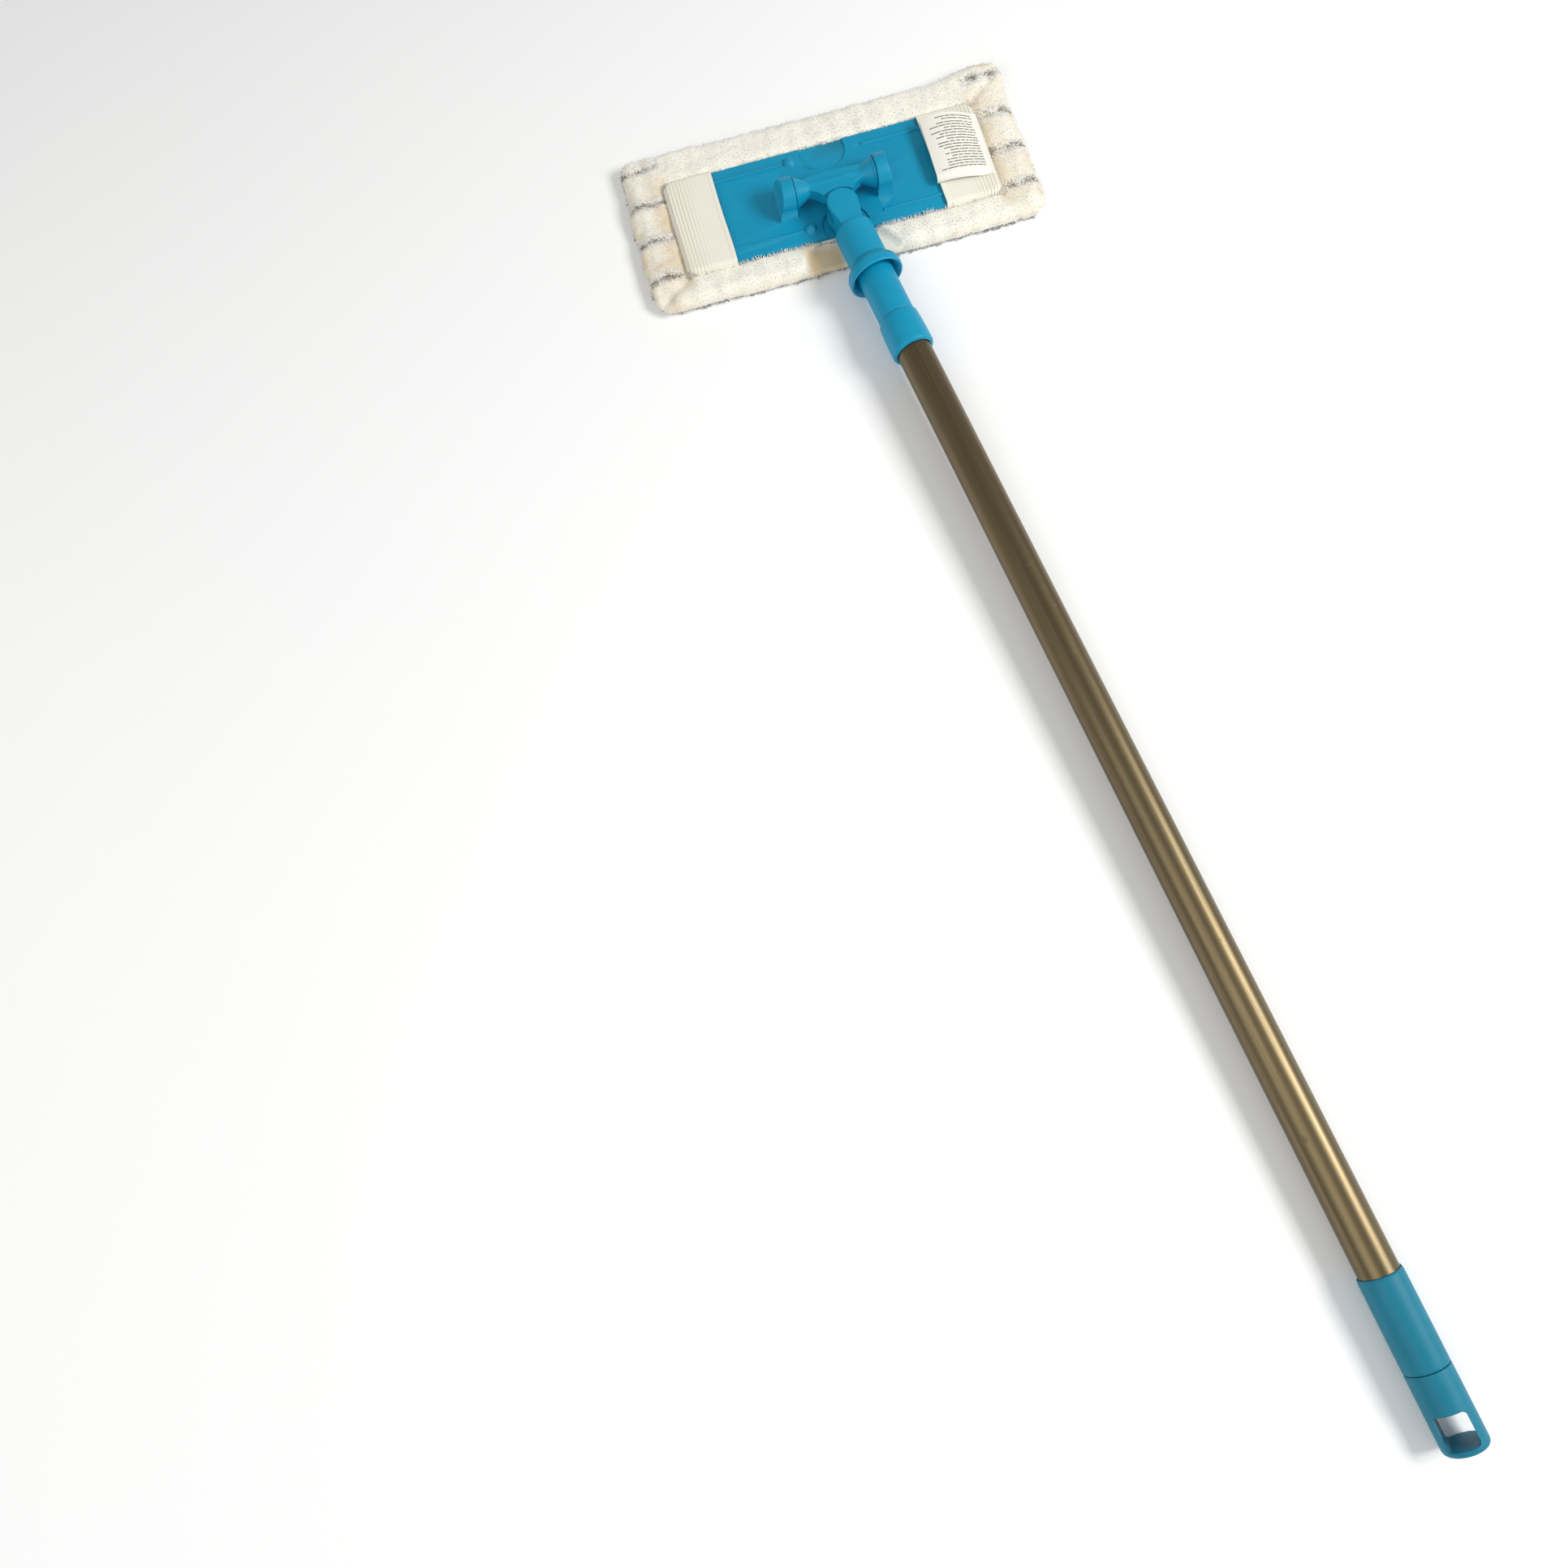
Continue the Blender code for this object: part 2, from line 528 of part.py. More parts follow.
# ---------------------------------------------------------------- the handle
def ferrule():
    """Plastic end of the inner tube: a threaded plug in the socket and a plain sleeve outside it."""
    plug = SOCKET_BORE - GAP
    plug_start = SOCKET_START + 0.0034 + 0.0006
    seat = MOUTH_START + 0.0052 + 0.0006
    profile = [(INNER_RADIUS + GAP, SLEEVE_END), (SLEEVE_RADIUS - 0.0005, SLEEVE_END),
               (SLEEVE_RADIUS, SLEEVE_END - 0.0005), (SLEEVE_RADIUS, seat + 0.0005),
               (SLEEVE_RADIUS - 0.0005, seat), (plug, seat)]
    # four thread crests around the plug
    crests, crest_pitch, depth = 4, 0.0058, 0.0012
    first = seat - 0.0030
    for number in range(crests):
        top = first - number * crest_pitch
        profile += [(plug, top), (plug - depth, top - 0.0012), (plug - depth, top - 0.0034),
                    (plug, top - 0.0046)]
    profile += [(plug, plug_start + 0.0012), (plug - 0.0012, plug_start), (0, plug_start)]
    bore_floor = INNER_TUBE_START - 0.0004
    profile += [(0, bore_floor), (INNER_RADIUS + GAP, bore_floor)]
    start = profile.index((0, bore_floor))
    turned("tube_ferrule", profile[start:] + profile[:start], handle_frame, BLUE)


def tubes():
    for name, radius, start, end in (("inner_tube", INNER_RADIUS, INNER_TUBE_START, INNER_TUBE_END),
                                     ("outer_tube", OUTER_RADIUS, OUTER_TUBE_START, OUTER_TUBE_END)):
        bore = radius - TUBE_WALL
        turned(name, [(radius, end), (radius, start), (bore, start), (bore, end)], handle_frame, STEEL,
               closed=True)


def lock():
    """Twist lock in the inner tube's end: a cone, a split ring that it spreads, and a screw."""
    seat = INNER_TUBE_END + GAP
    ring_low, ring_high = seat + LOCK_RING[0], seat + LOCK_RING[1]
    cone_low, cone_high = LOCK_CONE
    stem = INNER_RADIUS - TUBE_WALL - 0.0007
    hole = LOCK_SCREW_HOLE
    turned("lock_plug", [(0, ring_high - 0.014), (hole, ring_high - 0.014), (hole, ring_high + 0.0004),
                         (cone_high, ring_high + 0.0004), (cone_low, ring_low - 0.0003),
                         (0.0112, ring_low - 0.0003), (0.0112, seat), (stem, seat), (stem, seat - 0.022),
                         (stem - 0.0012, seat - 0.0235), (0, seat - 0.0235)],
           handle_frame, LOCK, steps=32)
    ring = turned("expander_ring",
                  [(0.0112, ring_high), (0.0115, ring_high - 0.0005), (0.0115, ring_low + 0.0005),
                   (0.0112, ring_low), (cone_low + 0.0005, ring_low), (cone_high + 0.0005, ring_high)],
                  handle_frame, LOCK, steps=32, closed=True)
    split = block("split", (0, -0.0011, ring_low - 0.002), (0.02, 0.0011, ring_high + 0.002),
                  handle_frame, collection=cutters)
    tidied(combine(ring, [split], "DIFFERENCE"))
    head = ring_high + 0.0007
    turned("lock_screw", [(0, head + 0.0030), (0.0032, head + 0.0028), (0.0043, head + 0.0018),
                          (0.0046, head + 0.0009), (0.0088, head + 0.0009), (0.0088, head),
                          (hole - GAP, head), (hole - GAP, ring_high - 0.0115), (0, ring_high - 0.0130)],
           handle_frame, ZINC, steps=SMALL_STEPS)


def collar():
    """Guide collar: a snug bore on the inner tube, and a counterbore over the outer tube's end."""
    start = SLEEVE_END + GAP
    snug = INNER_RADIUS + GAP
    over = OUTER_RADIUS + GAP
    floor = OUTER_TUBE_START - GAP
    profile = [(over, COLLAR_END), (COLLAR_RADIUS - 0.0022, COLLAR_END),
               (COLLAR_RADIUS - 0.0004, COLLAR_END - 0.0008), (COLLAR_RADIUS, COLLAR_END - 0.0022),
               (COLLAR_RADIUS, start + 0.013), (COLLAR_RADIUS - 0.0009, start + 0.0008),
               (COLLAR_RADIUS - 0.0017, start), (snug, start), (snug, floor), (over, floor)]
    turned("guide_collar", profile, handle_frame, BLUE, closed=True)


def grip():
    over = OUTER_RADIUS + GAP
    profile = [(over, CAP_START), (GRIP_RADIUS - 0.0003, CAP_START), (GRIP_RADIUS, CAP_START - 0.0004),
               (GRIP_RADIUS, GRIP_START + 0.0010), (GRIP_RADIUS - 0.0008, GRIP_START), (over, GRIP_START)]
    turned("grip_sleeve", profile, handle_frame, BLUE, closed=True)


def hang_cap():
    start = CAP_START + GAP
    over = OUTER_RADIUS + GAP
    seat = OUTER_TUBE_END + GAP
    corner = 0.0034
    end = arc((GRIP_RADIUS - corner, CAP_END - corner), corner, 90, 0, 6)
    profile = [(0, CAP_END)] + end + [(GRIP_RADIUS, start + 0.0004), (GRIP_RADIUS - 0.0003, start),
                                      (over, start), (over, seat), (0, seat)]
    cap = turned("hang_cap", profile, handle_frame, BLUE)
    hole = slab("hole", rounded_box(-HOLE_WIDTH / 2, HOLE_WIDTH / 2, -HOLE_START - HOLE_LENGTH, -HOLE_START,
                                    HOLE_CORNER, steps=5),
                -0.03, 0.03, swivel_frame, None, collection=cutters)
    hole.rotation_euler = (0, HOLE_ROLL, 0)
    tidied(combine(cap, [hole], "DIFFERENCE"))


pad()
pockets()
label()
base_plate()
yoke()
swivel_pin()
fork_socket()
ferrule()
tubes()
lock()
collar()
grip()
hang_cap()
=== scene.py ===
"""Looks of the flat mop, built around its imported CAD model.

The mop lies on a pale floor with its pad flat and its handle collapsed.  Everything is in metres
in the CAD model's frame: X along the pad, the handle towards -Y, Z up.
"""
import json
import math

import bmesh
import bpy
import numpy as np
from mathutils import Matrix, Quaternion, Vector


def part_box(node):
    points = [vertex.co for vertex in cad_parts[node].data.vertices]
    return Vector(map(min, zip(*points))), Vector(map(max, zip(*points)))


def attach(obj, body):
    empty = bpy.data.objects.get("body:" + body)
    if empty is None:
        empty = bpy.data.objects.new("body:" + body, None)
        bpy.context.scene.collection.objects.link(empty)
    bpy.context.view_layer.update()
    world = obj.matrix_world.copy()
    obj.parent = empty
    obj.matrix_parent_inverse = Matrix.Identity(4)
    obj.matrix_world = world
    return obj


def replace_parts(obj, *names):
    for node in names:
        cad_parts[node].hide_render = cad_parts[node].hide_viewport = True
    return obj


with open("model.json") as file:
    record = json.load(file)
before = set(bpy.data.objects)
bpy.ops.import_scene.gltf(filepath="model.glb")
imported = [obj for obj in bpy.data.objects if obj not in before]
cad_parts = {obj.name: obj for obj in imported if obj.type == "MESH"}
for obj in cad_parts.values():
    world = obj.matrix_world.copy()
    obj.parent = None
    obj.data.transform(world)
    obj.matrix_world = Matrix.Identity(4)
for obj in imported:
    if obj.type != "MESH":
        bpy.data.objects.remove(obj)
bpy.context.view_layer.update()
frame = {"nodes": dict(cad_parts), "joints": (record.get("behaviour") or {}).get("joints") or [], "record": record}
random = np.random.default_rng(7)
MM = 0.001

# ---------------------------------------------------------------- places read from the frame
JOINTS = {joint["name"]: joint for joint in frame["joints"]}
BODIES = frame["record"]["behaviour"]["bodies"]
BODY_OF = {node: body for body, nodes in BODIES.items() for node in nodes}
SLOT_OF = {part["node"]: part["material_slot"] for part in frame["record"]["subparts"]}
HANDLE_AXIS = Vector(JOINTS["extension"]["axis"]).normalized()
SWIVEL = Vector(JOINTS["swivel"]["pos_m"])

FACE_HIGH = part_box("pad_face")[1]
LINING_LOW, LINING_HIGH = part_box("pad_lining")
BACKING_LOW, BACKING_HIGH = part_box("pad_backing")
PLATE_LOW, PLATE_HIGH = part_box("base_plate")
LABEL_LOW, LABEL_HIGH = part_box("care_label")
POCKETS = {name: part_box(name) for name in ("pocket_left", "pocket_right")}

PLATE_HALF = Vector((PLATE_HIGH.x - PLATE_LOW.x, PLATE_HIGH.y - PLATE_LOW.y)) / 2
PLATE_Y = (PLATE_LOW.y + PLATE_HIGH.y) / 2
CLOTH_TOP = POCKETS["pocket_left"][1].z          # upper side of the pockets' cloth
WINDOW_HALF = Vector((BACKING_HIGH.x + 0.3 * MM, (BACKING_HIGH.y - BACKING_LOW.y) / 2 + 0.3 * MM))

# ---------------------------------------------------------------- sizes of the soft parts
HEM_CREST = 10.8 * MM                    # the folded border's body, before its pile
HEM_LIP = 12.0 * MM                      # the border's inner edge, pushed up by the plate
PILE_TOP = 15.4 * MM                     # highest pile
PRESSED_TOP = 9.35 * MM                  # pile under the socket's sweep
FACE_BASE = 2.2 * MM                     # where the wiping pile starts, above the floor
STRIPES = (-42 * MM, -9 * MM, 24 * MM, 57 * MM)
STRIPE_HALF = 1.35 * MM
TAN_PATCH_X, TAN_PATCH_Y = -21 * MM, -60 * MM  # the tan patch on the near border
END_SEAM = FACE_HIGH.x - 25 * MM         # stitched line across each end of the wiping face
SEAM_HALF = 1.3 * MM                     # bare strip on either side of that line
SWELL_FRAMES, SWELL_MOST = 15, 1.4 * MM  # length and reach of the cloth simulation
TRIES_PER_SPOT = 3.2                     # random places tried for each square of a tuft's spacing
NEAR_FLOOR = 0.6 * MM                    # pile is bent up within this height of the floor
RIB_PITCH = 2.7 * MM                     # the pockets' elastic
RIBS_START, RIBS_FULL = 98 * MM, 112 * MM    # from the middle of the pad, where the ribs begin and are full
WEBBING = 0.85 * MM                      # thickness of the pockets' cloth


# ---------------------------------------------------------------- helpers: numbers
def waves(points, length, seed, count=7):
    """Smooth noise from -1 to 1 with features about length long."""
    draw = np.random.default_rng(seed)
    total = np.zeros(len(points))
    for _ in range(count):
        heading = draw.normal(size=3)
        heading *= math.tau / (length * draw.uniform(0.8, 1.6) * np.linalg.norm(heading))
        total += np.sin(points @ heading + draw.uniform(0, math.tau))
    return np.clip(total / math.sqrt(count) / 1.2, -1, 1)


def smoothstep(low, high, value):
    share = np.clip((value - low) / (high - low), 0, 1)
    return share * share * (3 - 2 * share)


def unit(vectors):
    return vectors / np.maximum(np.linalg.norm(vectors, axis=1, keepdims=True), 1e-9)


# ---------------------------------------------------------------- helpers: meshes
def piece(name, mesh, look, body):
    made = bpy.data.objects.new(name, mesh)
    bpy.context.scene.collection.objects.link(made)
    mesh.materials.clear()
    for material in look if isinstance(look, (list, tuple)) else [look]:
        mesh.materials.append(material)
    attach(made, body)
    return made


def mesh_from(name, points, faces, smooth=True):
    mesh = bpy.data.meshes.new(name)
    mesh.from_pydata([tuple(point) for point in points], [], faces)
    mesh.update()
    if smooth:
        mesh.shade_smooth()
    return mesh


def applied(mesh, *steps):
    """mesh after some modifiers, each given as (type, settings)."""
    holder = bpy.data.objects.new("holder", mesh)
    bpy.context.scene.collection.objects.link(holder)
    for kind, settings in steps:
        step = holder.modifiers.new(kind.lower(), kind)
        for key, value in settings.items():
            setattr(step, key, value)
    bpy.context.view_layer.update()
    made = bpy.data.meshes.new_from_object(holder.evaluated_get(bpy.context.evaluated_depsgraph_get()))
    bpy.data.objects.remove(holder, do_unlink=True)
    return made


def coordinates(mesh):
    found = np.empty(len(mesh.vertices) * 3, np.float32)
    mesh.vertices.foreach_get("co", found)
    return found.reshape(-1, 3).astype(float)


def set_coordinates(mesh, points):
    mesh.vertices.foreach_set("co", points.astype(np.float32).ravel())
    mesh.update()


def vertex_normals(mesh):
    found = np.empty(len(mesh.vertices) * 3, np.float32)
    mesh.vertex_normals.foreach_get("vector", found)
    return found.reshape(-1, 3).astype(float)


def grid_faces(rows, columns, wrap=False):
    faces = []
    for row in range(rows - 1):
        for column in range(columns if wrap else columns - 1):
            after = (column + 1) % columns
            faces.append((row * columns + column, row * columns + after,
                          (row + 1) * columns + after, (row + 1) * columns + column))
    return faces


def from_pockets(points):
    """How far points lie beyond the plate's window in x and in y; below zero is inside."""
    return np.abs(points[:, 0]) - WINDOW_HALF.x, np.abs(points[:, 1] - PLATE_Y) - WINDOW_HALF.y


def near_corner_line(over_x, over_y, width):
    """From 0 to 1, how near a point is to the line that runs out from a corner of the window."""
    return np.exp(-((over_x * 0.75 - over_y) / width) ** 2)


# ---------------------------------------------------------------- helpers: materials
class Look:
    """A material with a Principled shader, and short ways to add nodes to it."""

    def __init__(self, name, **values):
        self.material = bpy.data.materials.new(name)
        self.material.use_nodes = True
        self.tree = self.material.node_tree
        self.shader = self.tree.nodes["Principled BSDF"]
        self.place = self.tree.nodes.new("ShaderNodeTexCoord").outputs["Object"]
        for key, value in values.items():
            self.shader.inputs[key.replace("_", " ")].default_value = value

    def node(self, kind, outputs=0, settings=(), **inputs):
        made = self.tree.nodes.new("ShaderNode" + kind)
        for key, value in dict(settings).items():
            setattr(made, key, value)
        for key, value in inputs.items():
            by_number = key[0] == "i" and key[1:].isdigit()
            socket = made.inputs[int(key[1:]) if by_number else key.replace("_", " ")]
            if isinstance(value, bpy.types.NodeSocket):
                self.tree.links.new(value, socket)
            else:
                socket.default_value = value
        return made.outputs[outputs]

    def set(self, name, value):
        self.tree.links.new(value, self.shader.inputs[name])

    def noise(self, scale, detail, vector=None):
        return self.node("TexNoise", Vector=vector or self.place, Scale=scale, Detail=detail,
                         Roughness=0.55)

    def ranged(self, value, low, high, to_low=0.0, to_high=1.0):
        return self.node("MapRange", i0=value, i1=low, i2=high, i3=to_low, i4=to_high)

    def mixed(self, factor, first, second):
        return self.node("Mix", outputs=2, settings={"data_type": "RGBA"}.items(),
                         i0=factor, i6=first, i7=second)

    def math(self, operation, *values):
        inputs = {f"i{number}": value for number, value in enumerate(values)}
        return self.node("Math", settings={"operation": operation}.items(), **inputs)

    def times(self, first, second):
        return self.math("MULTIPLY", first, second)

    def plus(self, first, second):
        return self.math("ADD", first, second)

    def bump(self, height, distance, strength=1.0, normal=None):
        made = self.tree.nodes.new("ShaderNodeBump")
        self.tree.links.new(height, made.inputs["Height"])
        made.inputs["Distance"].default_value = distance
        made.inputs["Strength"].default_value = strength
        if normal is not None:
            self.tree.links.new(normal, made.inputs["Normal"])
        return made.outputs["Normal"]

    def along_handle(self, across, along):
        """Object coordinates with Z along the handle, scaled."""
        turn = HANDLE_AXIS.rotation_difference(Vector((0, 0, 1))).to_euler()
        turned = self.node("Mapping", Vector=self.place, Rotation=turn)
        return self.node("Mapping", Vector=turned, Scale=(across, across, along))


def colour(red, green, blue):
    """An sRGB colour, 0 to 255, as a linear one."""
    parts = []
    for channel in (red, green, blue):
        share = channel / 255
        parts.append(share / 12.92 if share <= 0.04045 else ((share + 0.055) / 1.055) ** 2.4)
    return (*parts, 1.0)


def moulded_plastic(name, base, lighter, roughness):
    """Grained injection-moulded plastic, cloudy and scuffed, and paler along its edges, partly as wear and partly
    as a painted highlight.
    """
    look = Look(name, Specular_IOR_Level=0.32)
    rounded = look.node("Bevel", settings={"samples": 4}.items(), Radius=0.5 * MM)
    flat = look.node("NewGeometry", outputs=1)
    facing = look.node("VectorMath", outputs=1, settings={"operation": "DOT_PRODUCT"}.items(),
                       i0=rounded, i1=flat)
    edge = look.ranged(facing, 0.995, 0.86)
    broken = look.ranged(look.noise(420, 4), 0.42, 0.62)
    # the edges are painted paler: partly wear, partly a painted highlight along their rounded edges
    worn_and_highlit = look.times(edge, look.plus(look.times(broken, 0.4), 0.1))
    cloudy = look.ranged(look.noise(38, 4), 0.3, 0.7, 0.0, 0.3)
    drawn_out = look.node("Mapping", Vector=look.place, Scale=(60, 900, 60))
    scuffs = look.ranged(look.noise(2.2, 6, drawn_out), 0.62, 0.72, 0.0, 0.22)
    body = look.mixed(look.plus(cloudy, scuffs), base, lighter)
    wear_and_highlight_tint = tuple(share ** 0.7 for share in lighter)    # a power below one brightens
    look.set("Base Color", look.mixed(worn_and_highlit, body, wear_and_highlight_tint))
    grain = look.noise(2600, 2)
    grained = look.ranged(grain, 0.3, 0.7, roughness - 0.05, roughness + 0.07)
    look.set("Roughness", look.plus(grained, scuffs))
    look.set("Normal", look.bump(grain, 0.05 * MM, 0.35, rounded))
    return look.material


def drawn_steel(name, base, darker, roughness):
    """Lacquered steel tube with fine lines along its length."""
    look = Look(name, Metallic=1.0)
    lines = look.noise(1.0, 4, look.along_handle(2600, 14))
    broad = look.noise(1.0, 3, look.along_handle(260, 5))
    marks = look.ranged(look.noise(160, 5), 0.64, 0.70)
    tone = look.plus(look.ranged(lines, 0.35, 0.65, 0, 0.45), look.ranged(broad, 0.35, 0.65, 0, 0.55))
    look.set("Base Color", look.mixed(tone, base, darker))
    look.set("Roughness", look.plus(look.ranged(lines, 0.3, 0.7, roughness - 0.04, roughness + 0.06),
                                    look.times(marks, 0.12)))
    look.set("Normal", look.bump(lines, 0.01 * MM, 0.25))
    return look.material


def plush_tone(name, tint):
    """One tone of the pile's yarn; a tuft has one tone from root to tip."""
    return Look(name, Base_Color=tint, Roughness=0.95, Specular_IOR_Level=0.1, Subsurface_Weight=0.35,
                Subsurface_Radius=(1, 0.95, 0.85), Subsurface_Scale=2 * MM, Sheen_Weight=0.5,
                Sheen_Roughness=0.45).material


def plush_ground(name):
    """The plush's close short pile: white, with painted shade in the valleys beside the pockets, yellower around
    its rim and at its two ends, and tan in a patch on the near border."""
    look = Look(name, Roughness=0.95, Specular_IOR_Level=0.1, Sheen_Weight=0.4, Sheen_Roughness=0.45)
    apart = look.node("SeparateXYZ", i0=look.place).node.outputs

    def distance(axis, centre):
        return look.math("ABSOLUTE", look.plus(apart[axis], -centre))

    from_x, from_y = distance(0, 0), distance(1, 0)
    # each share goes from 0 at its first distance to 1 at its second
    # painted shade: tan in the valleys between the pockets and the ends of the border
    past_pocket = look.ranged(from_x, 115 * MM, 120 * MM)
    before_end = look.ranged(from_x, 140 * MM, 122 * MM)
    pocket_width = look.ranged(distance(1, PLATE_Y), 56 * MM, 40 * MM)
    beside = look.times(look.times(past_pocket, before_end), pocket_width)
    rim = look.math("MAXIMUM", look.ranged(from_x, FACE_HIGH.x - 9 * MM, FACE_HIGH.x + 1 * MM),
                    look.ranged(from_y, FACE_HIGH.y - 7 * MM, FACE_HIGH.y + 1 * MM))
    tan_patch = look.times(look.ranged(distance(0, TAN_PATCH_X), 16 * MM, 9 * MM),
                        look.ranged(distance(1, TAN_PATCH_Y), 14 * MM, 6 * MM))
    cloudy = look.ranged(look.noise(30, 4), 0.35, 0.7)
    blotches = look.ranged(look.noise(45, 4), 0.42, 0.66, 0.05, 0.5)
    ends = look.times(look.ranged(from_x, 118 * MM, 140 * MM), blotches)
    rest = look.plus(look.plus(look.times(rim, 0.6), ends), look.times(tan_patch, 1.8))
    # the tan mixes painted shade beside the pockets with the tan of the rim, the ends and the patch
    tan = look.times(look.plus(look.times(beside, 0.95), rest), look.plus(look.times(cloudy, 0.6), 0.5))
    fibres = look.noise(1100, 4)
    white = look.mixed(look.ranged(fibres, 0.3, 0.6), colour(236, 232, 216), colour(244, 243, 233))
    look.set("Base Color", look.mixed(tan, white, colour(216, 193, 154)))
    locks = look.times(look.noise(380, 3), 1.2)
    look.set("Normal", look.bump(look.plus(fibres, locks), 0.4 * MM, 0.5))
    return look.material


def ribbed(name, light, dark):
    """Elastic webbing: fine yarn, with painted shade in the furrows between its ribs, which run along Y.

    The ribs fade out towards the middle of the pad, where the webbing is stretched flat."""
    look = Look(name, Roughness=0.85, Sheen_Weight=0.2)
    across = look.node("SeparateXYZ", i0=look.place)
    wave = look.math("COSINE", look.times(across, math.tau / RIB_PITCH))
    yarn = look.noise(1.0, 3, look.node("Mapping", Vector=look.place, Scale=(2600, 900, 900)))
    slack = look.ranged(look.math("ABSOLUTE", across), RIBS_START, RIBS_FULL)
    # painted shade in the furrows between the ribs
    furrow_shade = look.times(look.ranged(wave, 0.0, -0.95), slack)
    shade = look.plus(look.times(furrow_shade, -0.6), look.plus(look.times(yarn, 0.1), 0.92))
    look.set("Base Color", look.mixed(shade, dark, light))
    look.set("Normal", look.bump(yarn, 0.05 * MM, 0.5))
    return look.material


def woven(name, light, dark, threads_per_mm, depth, roughness=0.85):
    """Plain weave: threads along X and along Y, over and under."""
    look = Look(name, Roughness=roughness, Sheen_Weight=0.25)
    rate = threads_per_mm * 1000 * math.pi
    apart = look.node("SeparateXYZ", i0=look.place).node.outputs
    over, under = (look.math("SINE", look.times(apart[axis], rate)) for axis in (0, 1))
    weave = look.ranged(look.times(over, under), -1, 1)
    slub = look.noise(900, 3)
    shade = look.plus(look.times(weave, 0.6), look.times(slub, 0.5))
    look.set("Base Color", look.mixed(shade, dark, light))
    look.set("Normal", look.bump(look.plus(weave, look.times(slub, 0.5)), depth, 0.7))
    return look.material


BLUE = moulded_plastic("blue_moulding", colour(0, 141, 180), colour(26, 160, 196), 0.42)
# a darker blue for the grip and the hang cap: painted shade, for the dimmer light they lie in
SHADED_GRIP_BLUE = moulded_plastic("grip_moulding_painted_shade", colour(0, 112, 138), colour(26, 136, 162), 0.5)
STEEL = drawn_steel("drawn_steel", colour(124, 110, 84), colour(100, 90, 68), 0.37)
ZINC = drawn_steel("zinc_screw", colour(196, 198, 200), colour(160, 163, 168), 0.35)
NATURAL = moulded_plastic("natural_moulding", colour(222, 222, 214), colour(236, 236, 230), 0.5)
PLUSH_GROUND = plush_ground("plush_ground")
TONES = [plush_tone(f"pile_tone_{number}", tint) for number, tint in enumerate((
    colour(255, 255, 253), colour(254, 253, 248), colour(252, 249, 241), colour(248, 242, 228),
    colour(240, 230, 209), colour(228, 212, 184), colour(212, 192, 160),
    colour(198, 195, 190), colour(160, 158, 155), colour(128, 126, 124)))]
LAST_TAN, FIRST_GREY = 6, 7
ELASTIC = ribbed("elastic_webbing", colour(236, 233, 220), colour(196, 187, 162))
BACKING = woven("backing_cloth", colour(235, 230, 214), colour(190, 183, 164), 1.1, 0.2 * MM)
LABEL = woven("label_ribbon", colour(248, 246, 238), colour(232, 229, 218), 5.0, 0.04 * MM, 0.6)
PRINT = Look("label_print", Base_Color=colour(104, 102, 99), Roughness=0.7).material
THREAD = woven("seam_thread", colour(240, 237, 226), colour(200, 195, 178), 6.0, 0.05 * MM)


# ---------------------------------------------------------------- rigid parts
def welded(node):
    """The CAD solid with its split corners joined."""
    work = bmesh.new()
    work.from_mesh(frame["nodes"][node].data)
    bmesh.ops.remove_doubles(work, verts=work.verts, dist=0.002 * MM)
    mesh = bpy.data.meshes.new(node)
    work.to_mesh(mesh)
    work.free()
    return mesh


def turned_smooth(node):
    """A turned part with many more facets, its shoulders kept crisp by creases."""
    mesh = welded(node)
    work = bmesh.new()
    work.from_mesh(mesh)
    bmesh.ops.join_triangles(work, faces=work.faces, angle_face_threshold=math.radians(0.5),
                             angle_shape_threshold=math.pi)
    crease = work.edges.layers.float.new("crease_edge")
    for edge in work.edges:
        if edge.is_manifold and edge.calc_face_angle() > math.radians(14):
            edge[crease] = 0.85
    work.to_mesh(mesh)
    work.free()
    made = applied(mesh, ("SUBSURF", {"levels": 2, "render_levels": 2}))
    made.shade_smooth()
    made.set_sharp_from_angle(angle=math.radians(40))
    return made


def cut_smooth(node):
    """A part whose flats stay flat in their shading and whose rounded edges run into them."""
    mesh = welded(node)
    mesh.shade_smooth()
    mesh.set_sharp_from_angle(angle=math.radians(38))
    by_area = {"mode": "FACE_AREA_WITH_ANGLE", "weight": 100, "keep_sharp": True}
    return applied(mesh, ("WEIGHTED_NORMAL", by_area))


def filleted(node, voxel, passes):
    """A moulding whose inside corners are blended, as the mould's are."""
    made = applied(welded(node),
                   ("REMESH", {"mode": "VOXEL", "voxel_size": voxel, "use_smooth_shade": True}),
                   ("SMOOTH", {"factor": 0.5, "iterations": passes}))
    made.shade_smooth()
    return made


def rigid_parts():
    looks = {"blue_plastic": BLUE, "tube_steel": STEEL, "lock_plastic": NATURAL, "screw_zinc": ZINC}
    turned = ("outer_tube", "inner_tube", "grip_sleeve", "guide_collar", "tube_ferrule", "lock_plug",
              "lock_screw", "swivel_pin")
    blended = {"yoke": (0.4 * MM, 4), "fork_socket": (0.45 * MM, 3), "hang_cap": (0.4 * MM, 4)}
    for node, slot in SLOT_OF.items():
        if slot not in looks:
            continue
        if node in turned:
            mesh = turned_smooth(node)
        elif node in blended:
            mesh = filleted(node, *blended[node])
        else:
            mesh = cut_smooth(node)
        # the grip and the hang cap take the darker blue of painted shade
        look = SHADED_GRIP_BLUE if node in ("grip_sleeve", "hang_cap") else looks[slot]
        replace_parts(piece(node + "_finished", mesh, look, BODY_OF[node]), node)


